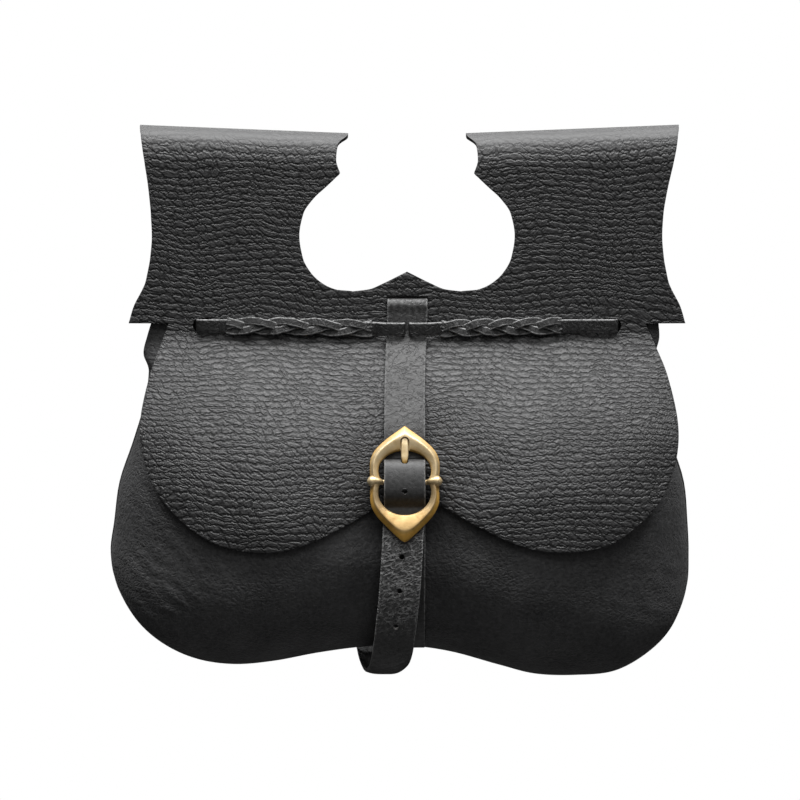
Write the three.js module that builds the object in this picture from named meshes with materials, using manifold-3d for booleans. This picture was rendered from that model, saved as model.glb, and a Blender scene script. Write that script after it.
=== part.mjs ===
// A black leather belt bag. One sheet of leather is the belt panel and the flap: its two wings roll over
// backwards into the belt loops. A two-lobed pouch hangs behind the flap, and two lacings tie cover and
// pouch together. A closing strap comes out of the panel, runs over the flap and through a brass buckle.
// Millimetres, +X to the right as seen from the front, -Y to the front, +Z up. The origin is the middle of
// the passage that the belt runs through.
import * as THREE from "three";
import { mergeVertices } from "three/addons/utils/BufferGeometryUtils.js";
import Module from "manifold-3d";

const wasm = await Module();
wasm.setup();

// Thicknesses of the leathers and the clear space between pieces that lie on each other
const COVER_THICK = 2.0;
const POUCH_THICK = 1.6;
const STRAP_THICK = 1.8;
const LACE_THICK = 1.8;
const GAP = 0.35;
const COVER_HALF = COVER_THICK / 2;
const POUCH_HALF = POUCH_THICK / 2;
const STRAP_HALF = STRAP_THICK / 2;
const LACE_HALF = LACE_THICK / 2;

// Belt roll at the top of each wing: radius to the middle of the leather, height of its axis
const ROLL_RADIUS = 8.5;
const ROLL_Z = 37.3;
const ROLL_LIFT = 2;          // how much the outer end of a roll stands above its middle
const ROLL_MIDDLE = 81;       // |x| at the middle of a roll
const ROLL_HALF_LENGTH = 51;
const WRAP_REACH = 134;       // |x| at which the fall column below is reached in full
const WING_LEAN = 1.2;        // how far the outer ends of both rolls lie to the right

// Front of the cover by height: depth in front of the belt line, dip at the centre, fall at the sides
const FRONT_PROFILE = [
  { z: -240, depth: 67.0, dip: 9.0, fall: 22.0 },
  { z: -165, depth: 67.0, dip: 10.5, fall: 22.0 },
  { z: -150, depth: 66.0, dip: 12.0, fall: 21.5 },
  { z: -135, depth: 63.6, dip: 12.6, fall: 20.0 },
  { z: -120, depth: 58.6, dip: 11.4, fall: 17.5 },
  { z: -105, depth: 51.0, dip: 8.0, fall: 14.5 },
  { z: -90, depth: 40.3, dip: 4.6, fall: 11.0 },
  { z: -76, depth: 28.3, dip: 2.2, fall: 7.8 },
  { z: -66, depth: 19.0, dip: 0.8, fall: 5.6 },
  { z: -59, depth: 13.2, dip: 0.2, fall: 4.4 },
  { z: -54.5, depth: 10.7, dip: 0.0, fall: 3.8 },
  { z: -47, depth: 10.0, dip: 0.0, fall: 3.4 },
  { z: -36, depth: 9.6, dip: 0.0, fall: 3.2 },
  { z: 0, depth: 8.9, dip: 0.0, fall: 3.0 },
  { z: ROLL_Z, depth: ROLL_RADIUS, dip: 0.0, fall: 3.0 },
];
const DIP_WIDTH = 30;

// Rear leaf of a wing by height: how far behind the belt line it hangs
const REAR_PROFILE = [
  { z: -64, y: -2.7 },
  { z: -52, y: -2.8 },
  { z: -45, y: -2.5 },
  { z: -36, y: -0.6 },
  { z: -24, y: 4.4 },
  { z: -10, y: 7.9 },
  { z: 10, y: 8.6 },
  { z: ROLL_Z, y: ROLL_RADIUS },
];
const REAR_END = -62;

// Edges of a wing up the front leaf, over the roll and down the rear leaf: |x| of the inner and of the outer
// edge. The run is the height on the front leaf, and goes on along the leather behind it.
const PANEL_BOTTOM = -49.8;
const KEYHOLE_BOTTOM = -33.6;
const ROLL_RUN = Math.PI * ROLL_RADIUS;
const REAR_TOP = ROLL_Z + ROLL_RUN;
const WING_EDGE = [
  { run: PANEL_BOTTOM, inner: 27.0, outer: 139.0 },
  { run: -41.5, inner: 27.0, outer: 136.5 },
  { run: KEYHOLE_BOTTOM, inner: 27.0, outer: 132.4 },
  { run: -32.8, inner: 35.0, outer: 132.0 },
  { run: -29.6, inner: 42.2, outer: 130.6 },
  { run: -24.5, inner: 47.8, outer: 129.4 },
  { run: -17, inner: 51.9, outer: 128.0 },
  { run: -6, inner: 53.6, outer: 127.1 },
  { run: 5, inner: 51.6, outer: 127.6 },
  { run: 13, inner: 46.4, outer: 128.6 },
  { run: 19, inner: 40.4, outer: 129.6 },
  { run: 24, inner: 35.6, outer: 130.6 },
  { run: 26.8, inner: 33.3, outer: 131.2 },
  { run: 28.6, inner: 34.0, outer: 131.5 },
  { run: 33.5, inner: 35.2, outer: 132.5 },
  { run: ROLL_Z + 3, inner: 34.2, outer: 133.6 },
  { run: ROLL_Z + ROLL_RUN * 0.5, inner: 29.8, outer: 134.8 },
  { run: REAR_TOP - 3, inner: 35.5, outer: 132.4 },
  { run: REAR_TOP + 16, inner: 44.0, outer: 127.0 },
  { run: REAR_TOP + 40, inner: 58.0, outer: 122.5 },
  { run: REAR_TOP + 70, inner: 61.0, outer: 121.0 },
  { run: REAR_TOP + ROLL_Z - REAR_END, inner: 66.0, outer: 117.0 },
];
const ROLL_STEPS = 8;
const WING_COLUMNS = 5;
const CORNER_COLUMNS = 2;
const NOTCH_X = 119;          // where the side of the flap meets the bottom edge of the panel

// Lower edge of the keyhole from its cusp in the middle to the bottom of its lobe
const BRIDGE_EDGE = [
  { x: 0, z: -23.8 },
  { x: 5.8, z: -26.7 },
  { x: 11.5, z: -29.5 },
  { x: 19, z: -32.6 },
  { x: 27, z: KEYHOLE_BOTTOM },
];
const BRIDGE_COLUMNS = 4;

// Edge of the flap from the notch beside the panel, round its lobe and up to the cusp in the middle
const FLAP_EDGE = [
  { left: [-NOTCH_X, PANEL_BOTTOM], right: [NOTCH_X, PANEL_BOTTOM] },
  { left: [-123.2, -62.0], right: [124.0, -61.6] },
  { left: [-128.0, -77.0], right: [129.3, -76.0] },
  { left: [-131.3, -97.0], right: [133.3, -98.0] },
  { left: [-128.8, -115.0], right: [131.3, -116.5] },
  { left: [-121.6, -130.0], right: [123.6, -133.9] },
  { left: [-110.0, -142.9], right: [112.0, -145.4] },
  { left: [-93.0, -153.4], right: [97.8, -154.2] },
  { left: [-73.0, -156.9], right: [77.0, -157.0] },
  { left: [-54.0, -154.4], right: [57.0, -154.2] },
  { left: [-32.0, -145.3], right: [35.0, -144.6] },
  { left: [-15.0, -136.0], right: [16.2, -135.0] },
  { left: [0, -128.5], right: [0, -128.5] },
];
const FLAP_CORNER = 6;        // row of the table at which the side edge becomes the bottom edge
const FLAP_ROWS = 13;

// Seam of the pouch, from the top of its left side down, round the two lobes and up the right side
const SEAM = [
  { x: -125.8, z: -43.0 },
  { x: -126.8, z: -46.0 },
  { x: -130.0, z: -56.0 },
  { x: -132.0, z: -65.0 },
  { x: -129.4, z: -74.0 },
  { x: -131.2, z: -90.0 },
  { x: -137.2, z: -110.0 },
  { x: -144.1, z: -130.0 },
  { x: -147.0, z: -150.0 },
  { x: -149.0, z: -167.0 },
  { x: -144.8, z: -184.0 },
  { x: -128.8, z: -199.5 },
  { x: -118.4, z: -211.5 },
  { x: -104.0, z: -218.8 },
  { x: -86.0, z: -221.4 },
  { x: -66.0, z: -219.6 },
  { x: -44.0, z: -215.4 },
  { x: -22.0, z: -212.6 },
  { x: 0.0, z: -212.2 },
  { x: 22.0, z: -215.0 },
  { x: 46.0, z: -221.6 },
  { x: 64.0, z: -226.2 },
  { x: 84.0, z: -227.0 },
  { x: 104.0, z: -224.8 },
  { x: 121.0, z: -214.4 },
  { x: 133.3, z: -199.5 },
  { x: 140.6, z: -184.0 },
  { x: 141.6, z: -167.0 },
  { x: 140.8, z: -150.0 },
  { x: 138.8, z: -130.0 },
  { x: 132.4, z: -110.0 },
  { x: 127.2, z: -90.0 },
  { x: 124.7, z: -74.0 },
  { x: 124.2, z: -65.0 },
  { x: 126.3, z: -56.0 },
  { x: 125.4, z: -46.0 },
  { x: 124.6, z: -43.0 },
];
const SEAM_LEFT_CORNER = 11;  // rows of the table at which a side becomes the bottom
const SEAM_RIGHT_CORNER = 25;
const FRONT_WALL_ROW = 1;     // row at which the front wall ends, beside the mouth

// Mouth of the front wall by distance from the middle
const MOUTH_EDGE = [
  { x: 0, z: -62 },
  { x: 60, z: -62 },
  { x: 88, z: -60.5 },
  { x: 108, z: -56.5 },
  { x: 119, z: -51.5 },
  { x: 127, z: -46 },
];

// Upper edge of the back wall by distance from the middle: it rises behind the slot of the closing strap
const BACK_TOP_EDGE = [
  { x: 0, z: -32 },
  { x: 11, z: -32.6 },
  { x: 19, z: -36.5 },
  { x: 32, z: -43 },
  { x: 130, z: -43 },
];

const FLAP_CLEAR = 2.6;       // from the middle of the flap back to the outside of the pouch
const BACK_SETBACK = 4.9;     // from the middle of the cover back to the middle of the back wall
const BACK_BULGE = 5;
const BULGE_TOP = -64;        // heights between which the bulge of the back wall grows
const BULGE_FULL = -115;
const FALL_FADE_LOW = -110;   // heights between which the pouch takes over the fall of the cover's sides
const FALL_FADE_TOP = -62;
const RIM_LIFT_FROM = -95;    // heights between which the rim comes forward by one thickness, where the wall
const RIM_LIFT_TO = -66;      // lies flat in front of the back wall
const SIDE_ROUNDING = 3;      // exponent of the pouch's cross-section
const BOTTOM_ROUNDING = 2.3;
const BOTTOM_SHARE = 0.34;    // share of the height over which the bottom rounds in
const ROUNDING_BLEND = 4;
const POUCH_COLUMNS = 26;
const POUCH_ROWS = 13;
const BACK_COLUMNS = 28;
const BACK_ROWS = 10;

// Lacings: a strip through a slot at its outer end and through the slit in the middle
const LACE_WIDTH = 6.6;
const LACE_Z = -50.7;
const LACE_LOW = -54;         // heights at which the strip comes nearest to the cover and to the rear leaf
const LACE_HIGH = -47.4;
const LACE_GAP = 0.6;         // clear space to the bent leather under the strip
const LACE_SLOT_X = 104.4;
const LACE_MIDDLE_X = 1.75;
const LACE_SAG = 1.4;          // how far the strip hangs down in the middle,
const LACE_SAG_REACH = 70;     // and from which |x|
const LACE_TURN = 1.25;
const LACE_TAIL = 10;
const LACE_RISE_FROM = 10.2;  // |x| at which the strip is still straight on the strap
const LACE_STEP_FROM = 12.0;  // |x| over which it comes down from the strap to the cover
const LACE_STEP_TO = 16.0;
const LACE_RISE_STEPS = 6;
const LACE_FLAT_STEPS = 5;
const LACE_CORNER_STEPS = 3;
const SLOT_HEIGHT = 7.6;
const SLOT_INNER = 103.1;
const SLOT_OUTER = 105.9;
const SLIT_INNER = 0.5;
const SLIT_OUTER = 3.0;
const LACINGS = [
  { name: "lacing_left", side: -1, braidFrom: 17.4, braidTo: 90.2, strandPitch: 48 },
  { name: "lacing_right", side: 1, braidFrom: 16.9, braidTo: 77.2, strandPitch: 36 },
];
const STRAND_COUNT = 3;
const STRAND_WIDTH = 2.5;
const STRAND_SWING = 2.25;    // swing of a strand along the height of the braid
const STRAND_LIFT = 0.85;     // swing of a strand in and out
const STRAND_OVERLAP = 2.5;   // length by which a strand starts inside the flat strip
const STRAND_STEP = 4;

// Straps
const STRAP_WIDTH = 20;
const STRAP_SLOT_Z = -40.3;   // axis of the turn that the strap makes through the panel
const STRAP_BULGE = 0.8;      // how far it stands off below that turn
const STRAP_SLOT_WIDTH = 20.8;
const STRAP_SLOT_HEIGHT = 4.2;
const STRAP_SLOT_LIFT = 2.4;  // from the axis of the turn up to the middle of the slot
const STRAP_HIDDEN_Z = [-55.5, -51.5, -47, -43];      // heights of its end behind the panel
const STRAP_TURN_STEPS = 6;
const STRAP_TOP_X = 0.2;
const STRAP_FLAP_Z = [-44, -49, -54, -58, -62, -67, -75, -84];    // heights at which it lies on the flap

// Sideways drift of the strap to the left by its length from the buckle's lower bar on
const STRAP_DRIFT = [
  { length: 0, left: 0 },
  { length: 25, left: 1.4 },
  { length: 40, left: 2.3 },
  { length: 62, left: 4.5 },
  { length: 82, left: 6.7 },
  { length: 110, left: 10.0 },
  { length: 155, left: 15.0 },
  { length: 185, left: 17.2 },
];
const DRIFT_FROM_U = -12;     // place in the buckle's plane below which it drifts
const HOLE_RADIUS = 1.3;
const HOLE_SIDES = 10;
const HOLE_SEARCH_STEPS = 900;
const SLOT_SEGMENTS = 4;
const PIN_SLOT = { width: 4.8, length: 8.0, u: 9.1 };

// Buckle: its middle, the tilt of its top towards the bag, and its sizes in its own plane
const BUCKLE = { x: -1.2, y: -58.0, z: -122.9 };
const BUCKLE_TILT = THREE.MathUtils.degToRad(19);
const FRAME_OUTER = [
  { x: 0, u: 27.9 },
  { x: 4.4, u: 24.7 },
  { x: 9.3, u: 21.0 },
  { x: 14.2, u: 16.2 },
  { x: 16.6, u: 11.4 },
  { x: 17.0, u: 6.0 },
  { x: 16.6, u: 0 },
  { x: 16.8, u: -6.0 },
  { x: 16.4, u: -11.3 },
  { x: 13.6, u: -16.9 },
  { x: 8.3, u: -22.7 },
  { x: 2.9, u: -28.3 },
  { x: 0, u: -29.4 },
];
const OPENING_HALF_WIDTH = 12.85;
const OPENING_SHIFT = 5.3;    // from the middle bar to the axis of each opening
const OPENING_TOP = 10.4;     // half height of the upper opening, and of the lower one
const OPENING_BOTTOM = 11.4;
const FRAME_STEPS = 16;
const FRAME_BACK = -1.6;
const FRAME_INNER_FRONT = 1.3;
const FRAME_OUTER_FRONT = 0.7;
const FRAME_RIDGE = 2.5;
const RIDGE_SHARE = 0.5;
const BAR_RADIUS = 1.3;
const BAR_N = -1.4;
const BAR_HALF_LENGTH = 14;
const KNOB_RADIUS = 2.8;
const KNOB_X = 15.2;
const ROUND_SIDES = 12;
const RECESS_HALF_WIDTH = 2.25;
const RECESS_TOP = 21.9;
const PIN_WIDTH = 3.6;
const PIN_THICK = 1.6;
const PIN_N = 1.0;
const PIN_START = 1.4;
const PIN_TIP_SEGMENTS = 6;
const EYE_RADIUS = 2.9;

// Routes in the buckle's own plane, u up and n to the front: the strap over the middle bar, and the strap
// that holds the bar
const CLOSING_ROUTE = [
  [31, -4.8], [25, -3.5], [20, -3.2], [16, -3.15], [12.7, -3.1], [11.5, -3.02], [10.5, -2.2], [9.8, -0.5],
  [9.0, 1.2], [7.5, 2.6], [5, 3.4], [2, 3.5], [-2, 3.5], [-5.2, 3.1], [-7.6, 2.0], [-9.3, 0.2], [-10.6, -1.7],
  [-11.9, -3.0], [-14.0, -3.12], [-17, -3.15], [-21, -3.2], [-29, -3.5], [-34, -4.2],
];
const HANG_ROUTE = [
  { y: -65.4, z: -166 }, { y: -64.6, z: -180 }, { y: -61.4, z: -194 }, { y: -55.0, z: -207 },
  { y: -45.0, z: -217 }, { y: -32.0, z: -222 }, { y: -18.0, z: -222.6 }, { y: -5.0, z: -219.4 },
  { y: 4.0, z: -211 }, { y: 7.6, z: -200 }, { y: 8.2, z: -186 },
];
const HOLDER_FRONT = [[-3.4, 0.7], [-6.2, -1.05], [-8.8, -3.6], [-11.5, -5.25], [-15, -5.65], [-21, -6.1]];
const HOLDER_REAR = [[-20.5, -8.4], [-15, -7.95], [-11, -7.1], [-8, -5.4], [-4, -4.2]];
const HOLDER_LOW = -158;      // height below which the buckle's strap lies on the pouch
const HOLDER_END = 0.25;       // bottom angle of the pouch at which it ends under the bag
const HOLDER_LOOP_STEPS = 8;
const HOLDER_EDGE_ANGLE = Math.PI / 2 + 0.085;    // side angle at which its edge lies on the pouch
const HOLDER_STEPS = 14;
const HOLDER_SLACK = 0.95;   // how far it stands off the curved wall at its middle
const STRAP_HOLES_U = [-6.2];
const STRAP_HOLES_Z = [-159.1, -175.5, -193.7];

const LEATHER_GRAIN = { color: 0x2b2a2a, roughness: 0.45, metalness: 0 };
const LEATHER_MATTE = { color: 0x17171a, roughness: 0.85, metalness: 0 };
const LEATHER_STRAP = { color: 0x232222, roughness: 0.5, metalness: 0 };
const BRASS = { color: 0xa98245, roughness: 0.35, metalness: 1 };

const SLOPE_STEP = 0.01;      // share of a parameter's range used to find a slope: of the pouch,
const COVER_SLOPE_STEP = 0.0002;    // of the cover
const BAND_SLOPE_STEP = 0.001;      // and of a strap
const RIM_INSET = 0.03;       // parameter inset at which the normals of a rim are taken

const smoothRamp = (from, to, at) => THREE.MathUtils.smoothstep(at, from, to);
const steps = (from, to, count) => Array.from({ length: count + 1 },
  (_, i) => from + ((to - from) * i) / count);
const point = (x, y, z) => new THREE.Vector3(x, y, z);

// Value of a table's column at a place along its key: a cubic through the rows that never overshoots them
function along(rows, key, column, at) {
  const last = rows.length - 1;
  if (at <= rows[0][key]) return rows[0][column];
  if (at >= rows[last][key]) return rows[last][column];
  const low = rows.findIndex((row) => row[key] > at) - 1;
  const rise = (i) => (rows[i + 1][column] - rows[i][column]) / (rows[i + 1][key] - rows[i][key]);
  const slope = (i) => {
    if (i === 0) return rise(0);
    if (i === last) return rise(last - 1);
    const [before, after] = [rise(i - 1), rise(i)];
    return before * after <= 0 ? 0 : (2 * before * after) / (before + after);
  };
  const span = rows[low + 1][key] - rows[low][key];
  const t = (at - rows[low][key]) / span;
  const start = rows[low][column] * (1 + 2 * t) * (1 - t) ** 2 + slope(low) * span * t * (1 - t) ** 2;
  const end = rows[low + 1][column] * t * t * (3 - 2 * t) + slope(low + 1) * span * t * t * (t - 1);
  return start + end;
}

// A net of four-sided cells in a flat pattern, joined from patches of rows that share their edges
class Net {
  points = [];
  cells = [];
  known = new Map();

  index(a, b) {
    const key = `${a.toFixed(4)} ${b.toFixed(4)}`;
    if (!this.known.has(key)) {
      this.known.set(key, this.points.length);
      this.points.push([a, b]);
    }
    return this.known.get(key);
  }

  patch(rows) {
    const ids = rows.map((row) => row.map(([a, b]) => this.index(a, b)));
    for (let i = 0; i + 1 < ids.length; i += 1) {
      for (let j = 0; j + 1 < ids[i].length; j += 1) {
        this.cell([ids[i][j], ids[i][j + 1], ids[i + 1][j + 1], ids[i + 1][j]]);
      }
    }
  }

  // Cells all turn the same way, whichever way their patch was drawn
  cell(corners) {
    const area = corners.reduce((sum, id, k) => {
      const [a, b] = this.points[id];
      const [c, d] = this.points[corners[(k + 1) % 4]];
      return sum + a * d - b * c;
    }, 0);
    this.cells.push(area > 0 ? corners : corners.reverse());
  }
}

// A net over a rectangle of two parameters
function plainNet(aValues, bValues) {
  const net = new Net();
  net.patch(bValues.map((b) => aValues.map((a) => [a, b])));
  return net;
}

// Closed solid from a net that a bending function places in space: each point is moved along the normal
// of the bent sheet by both offsets, and the open edges are closed by walls
function thicken(net, place, offsets, domain) {
  const clamp = (value, [low, high]) => Math.min(Math.max(value, low), high);
  const normalAt = (a, b) => {
    const inset = (value, [low, high]) => clamp(value, [low + domain.inset, high - domain.inset]);
    const [middleA, middleB] = [inset(a, domain.a), inset(b, domain.b)];
    const [stepA, stepB] = [domain.a, domain.b].map(([low, high]) => (high - low) * domain.slopeStep);
    const sweep = (da, db) => place(clamp(middleA + da, domain.a), clamp(middleB + db, domain.b))
      .sub(place(clamp(middleA - da, domain.a), clamp(middleB - db, domain.b)));
    return sweep(stepA, 0).cross(sweep(0, stepB)).normalize();
  };
  const layers = offsets.map(() => []);
  net.points.forEach(([a, b]) => {
    const [middle, normal] = [place(a, b), normalAt(a, b)];
    offsets.forEach((offset, k) => layers[k].push(middle.clone().addScaledVector(normal, offset)));
  });
  const count = net.points.length;
  const triangles = [];
  const edges = new Map();
  net.cells.forEach(([a, b, c, d]) => {
    triangles.push([a, b, c], [a, c, d]);
    triangles.push([a + count, c + count, b + count], [a + count, d + count, c + count]);
    [[a, b], [b, c], [c, d], [d, a]].forEach(([from, to]) => {
      if (!edges.delete(`${to} ${from}`)) edges.set(`${from} ${to}`, [from, to]);
    });
  });
  edges.forEach(([from, to]) => {
    triangles.push([from, from + count, to + count], [from, to + count, to]);
  });
  return indexed(layers.flat(), triangles);
}

function indexed(points, triangles) {
  const geometry = new THREE.BufferGeometry();
  const positions = points.flatMap((p) => [p.x, p.y, p.z]);
  geometry.setAttribute("position", new THREE.Float32BufferAttribute(positions, 3));
  geometry.setIndex(triangles.flat());
  return geometry;
}

function solidOf(geometry) {
  const bare = geometry.clone();
  bare.deleteAttribute("normal");
  bare.deleteAttribute("uv");
  const merged = mergeVertices(bare);
  const vertProperties = Float32Array.from(merged.attributes.position.array);
  const triVerts = Uint32Array.from(merged.index.array);
  return new wasm.Manifold(new wasm.Mesh({ numProp: 3, vertProperties, triVerts }));
}

function geometryOf(solid) {
  const mesh = solid.getMesh();
  const geometry = new THREE.BufferGeometry();
  geometry.setAttribute("position", new THREE.BufferAttribute(Float32Array.from(mesh.vertProperties), 3));
  geometry.setIndex(Array.from(mesh.triVerts));
  return geometry;
}

function cut(geometry, cutters) {
  return geometryOf(cutters.reduce((solid, cutter) => solid.subtract(solidOf(cutter)), solidOf(geometry)));
}

function join([first, ...others]) {
  return geometryOf(others.reduce((solid, piece) => solid.add(solidOf(piece)), solidOf(first)));
}

// Flat shape of a slot with round ends
function slotShape(width, height) {
  const radius = Math.min(width, height) / 2;
  const [dx, dy] = [width / 2 - radius, height / 2 - radius];
  const shape = new THREE.Shape();
  shape.absarc(dx, dy, radius, -Math.PI / 2 + (dy > 0 ? Math.PI / 2 : 0), dy > 0 ? Math.PI : Math.PI / 2);
  shape.absarc(-dx, -dy, radius, dy > 0 ? Math.PI : Math.PI / 2, dy > 0 ? 2 * Math.PI : 1.5 * Math.PI);
  return shape;
}

// Depths between which the slits at the bottom of the panel are cut
const CUT_FRONT = -2 * ROLL_RADIUS;
const CUT_PANEL_BACK = -ROLL_RADIUS / 2;
const CUT_WALL_BACK = 0;
const CUT_LEAF_BACK = ROLL_RADIUS;

// Cutter for a slit that goes straight through from front to back between two depths
function slitCutter(x, z, width, height, front, back) {
  return new THREE.BoxGeometry(width, back - front, height).translate(x, (front + back) / 2, z);
}

// Height of the middle of a lacing
const laceZ = (x) => LACE_Z - LACE_SAG * (1 - smoothRamp(0, LACE_SAG_REACH, x));

// Front of the cover: depth in front of the belt line at a place on it
const coverDip = (x, z) => along(FRONT_PROFILE, "z", "dip", z) * Math.exp(-((x / DIP_WIDTH) ** 2));
const coverFall = (x, z) => along(FRONT_PROFILE, "z", "fall", z) * (Math.abs(x) / WRAP_REACH) ** 3;
const coverDepth = (x, z) => along(FRONT_PROFILE, "z", "depth", z) - coverDip(x, z) - coverFall(x, z);
const rearLeafY = (x, z) => along(REAR_PROFILE, "z", "y", z) + coverFall(x, ROLL_Z);

// Middle of the cover at x and at a run along the leather: front leaf, roll and rear leaf
function coverPoint(x, run) {
  const lift = (ROLL_LIFT * (Math.abs(x) - ROLL_MIDDLE)) / ROLL_HALF_LENGTH;
  const wrap = coverFall(x, ROLL_Z);
  if (run <= ROLL_Z) return point(x, -coverDepth(x, run), run + lift * smoothRamp(0, ROLL_Z, run));
  if (run <= REAR_TOP) {
    const angle = (run - ROLL_Z) / ROLL_RADIUS;
    return point(x, wrap - ROLL_RADIUS * Math.cos(angle), ROLL_Z + lift + ROLL_RADIUS * Math.sin(angle));
  }
  const z = ROLL_Z - (run - REAR_TOP);
  return point(x, rearLeafY(x, z), z + lift * smoothRamp(0, ROLL_Z, z));
}

// Grid between four edges given as rows of points: the two pairs are blended and the corners taken out once
function blendedGrid(top, bottom, inner, outer) {
  const [columns, rows] = [top.length - 1, inner.length - 1];
  const mix = (i, j, k) => {
    const [u, v] = [j / columns, i / rows];
    const across = (1 - u) * inner[i][k] + u * outer[i][k];
    const down = (1 - v) * top[j][k] + v * bottom[j][k];
    const corners = (1 - v) * ((1 - u) * top[0][k] + u * top[columns][k])
      + v * ((1 - u) * bottom[0][k] + u * bottom[columns][k]);
    return across + down - corners;
  };
  return inner.map((_, i) => top.map((__, j) => [mix(i, j, 0), mix(i, j, 1)]));
}

function flapCurve(sideName) {
  return new THREE.SplineCurve(FLAP_EDGE.map((row) => new THREE.Vector2(...row[sideName])));
}

// Net of one half of the cover: wing, bridge under the keyhole, and half of the flap
function addCoverHalf(net, side, sideName) {
  const onFront = WING_EDGE.map(({ run }) => run).filter((run) => run < ROLL_Z);
  const onRear = REAR_PROFILE.map(({ z }) => REAR_TOP + ROLL_Z - Math.max(z, REAR_END)).reverse();
  const runs = [...onFront, ...steps(ROLL_Z, REAR_TOP, ROLL_STEPS), ...onRear.slice(1)];
  const notchShare = (NOTCH_X - WING_EDGE[0].inner) / (WING_EDGE[0].outer - WING_EDGE[0].inner);
  const wing = runs.map((run) => {
    const inner = along(WING_EDGE, "run", "inner", run);
    const outer = along(WING_EDGE, "run", "outer", run) + side * WING_LEAN * smoothRamp(0, ROLL_Z, run);
    const middle = inner + (outer - inner) * notchShare;
    const across = [...steps(inner, middle, WING_COLUMNS), ...steps(middle, outer, CORNER_COLUMNS).slice(1)];
    return across.map((x) => [side * x, run]);
  });
  net.patch(wing);

  const sideRuns = runs.filter((run) => run <= KEYHOLE_BOTTOM);
  const bridgeX = steps(0, WING_EDGE[0].inner, BRIDGE_COLUMNS);
  net.patch(sideRuns.map((run) => {
    const share = (run - PANEL_BOTTOM) / (KEYHOLE_BOTTOM - PANEL_BOTTOM);
    const height = (x) => along(BRIDGE_EDGE, "x", "z", x) - PANEL_BOTTOM;
    return bridgeX.map((x) => [side * x, PANEL_BOTTOM + share * height(x)]);
  }));

  const bridgeBottom = bridgeX.slice(0, -1).map((x) => [side * x, PANEL_BOTTOM]);
  const top = [...bridgeBottom, ...wing[0].slice(0, WING_COLUMNS + 1)];
  const edge = flapCurve(sideName);
  const corner = FLAP_CORNER / (FLAP_EDGE.length - 1);
  const bottom = steps(1, corner, top.length - 1).map((t) => edge.getPoint(t).toArray());
  const outer = steps(0, corner, FLAP_ROWS).map((t) => edge.getPoint(t).toArray());
  const inner = steps(PANEL_BOTTOM, FLAP_EDGE.at(-1).left[1], FLAP_ROWS).map((z) => [0, z]);
  net.patch(blendedGrid(top, bottom, inner, outer));
}

function lacingSlots() {
  const width = SLOT_OUTER - SLOT_INNER;
  const middle = (SLOT_OUTER + SLOT_INNER) / 2;
  const slot = (x) => slitCutter(x, LACE_Z, width, SLOT_HEIGHT, CUT_FRONT, CUT_LEAF_BACK);
  return [slot(-middle), slot(middle)];
}

function middleSlits() {
  const width = SLIT_OUTER - SLIT_INNER;
  const middle = (SLIT_OUTER + SLIT_INNER) / 2;
  const slit = (x) => slitCutter(x, laceZ(0), width, SLOT_HEIGHT, CUT_FRONT, CUT_WALL_BACK);
  return [slit(-middle), slit(middle)];
}

function makeCover() {
  const net = new Net();
  addCoverHalf(net, -1, "left");
  addCoverHalf(net, 1, "right");
  const reach = WING_EDGE[0].outer;
  const ends = [-reach - NOTCH_X, WING_EDGE.at(-1).run];
  const domain = { a: [-reach, reach], b: ends, inset: 0, slopeStep: COVER_SLOPE_STEP };
  const sheet = thicken(net, coverPoint, [COVER_HALF, -COVER_HALF], domain);
  const strapSlot = slitCutter(STRAP_TOP_X, STRAP_SLOT_Z + STRAP_SLOT_LIFT, STRAP_SLOT_WIDTH,
    STRAP_SLOT_HEIGHT, CUT_FRONT, CUT_PANEL_BACK);
  return cut(sheet, [...lacingSlots(), ...middleSlits(), strapSlot]);
}

const seamCurve = new THREE.SplineCurve(SEAM.map(({ x, z }) => new THREE.Vector2(x, z)));

// Place in the pouch's outline for shares across (0 to 1, left to right) and up (0 at the bottom seam)
function pouchOutline(across, up, topRow, topEdge) {
  const last = SEAM.length - 1;
  const seamAt = (row) => seamCurve.getPoint(row / last);
  const blend = THREE.MathUtils.lerp;
  const bottom = seamAt(blend(SEAM_LEFT_CORNER, SEAM_RIGHT_CORNER, across));
  const left = seamAt(blend(SEAM_LEFT_CORNER, topRow, up));
  const right = seamAt(blend(SEAM_RIGHT_CORNER, last - topRow, up));
  const corners = [SEAM_LEFT_CORNER, SEAM_RIGHT_CORNER, topRow, last - topRow].map(seamAt);
  const topX = blend(corners[2].x, corners[3].x, across);
  const top = new THREE.Vector2(topX, topEdge(topX));
  const sides = left.multiplyScalar(1 - across).addScaledVector(right, across);
  const ends = bottom.multiplyScalar(1 - up).addScaledVector(top, up);
  const doubled = corners[0].multiplyScalar((1 - across) * (1 - up))
    .addScaledVector(corners[1], across * (1 - up))
    .addScaledVector(corners[2], (1 - across) * up)
    .addScaledVector(corners[3], across * up);
  return sides.add(ends).sub(doubled);
}

// Share of the full depth at a place: it rounds to nothing at the sides and at the bottom seam
function pouchFullness(sideAngle, up) {
  const side = Math.sqrt(Math.max(1 - Math.abs(Math.cos(sideAngle)) ** SIDE_ROUNDING, 0));
  const low = Math.max(1 - up / BOTTOM_SHARE, 0);
  const bottom = Math.sqrt(Math.max(1 - low ** BOTTOM_ROUNDING, 0));
  if (side * bottom === 0) return 0;
  return (side ** -ROUNDING_BLEND + bottom ** -ROUNDING_BLEND - 1) ** (-1 / ROUNDING_BLEND);
}

const acrossOf = (sideAngle) => (1 - Math.cos(sideAngle)) / 2;
const upOf = (bottomAngle) => 1 - Math.cos(bottomAngle);
const mouthEdge = (x) => along(MOUTH_EDGE, "x", "z", Math.abs(x));
const backTop = (x) => along(BACK_TOP_EDGE, "x", "z", Math.abs(x));

// Depth of the middle of the back wall at its rim
const backDepth = (x) => coverDepth(x, LACE_Z) - BACK_SETBACK;

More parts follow.
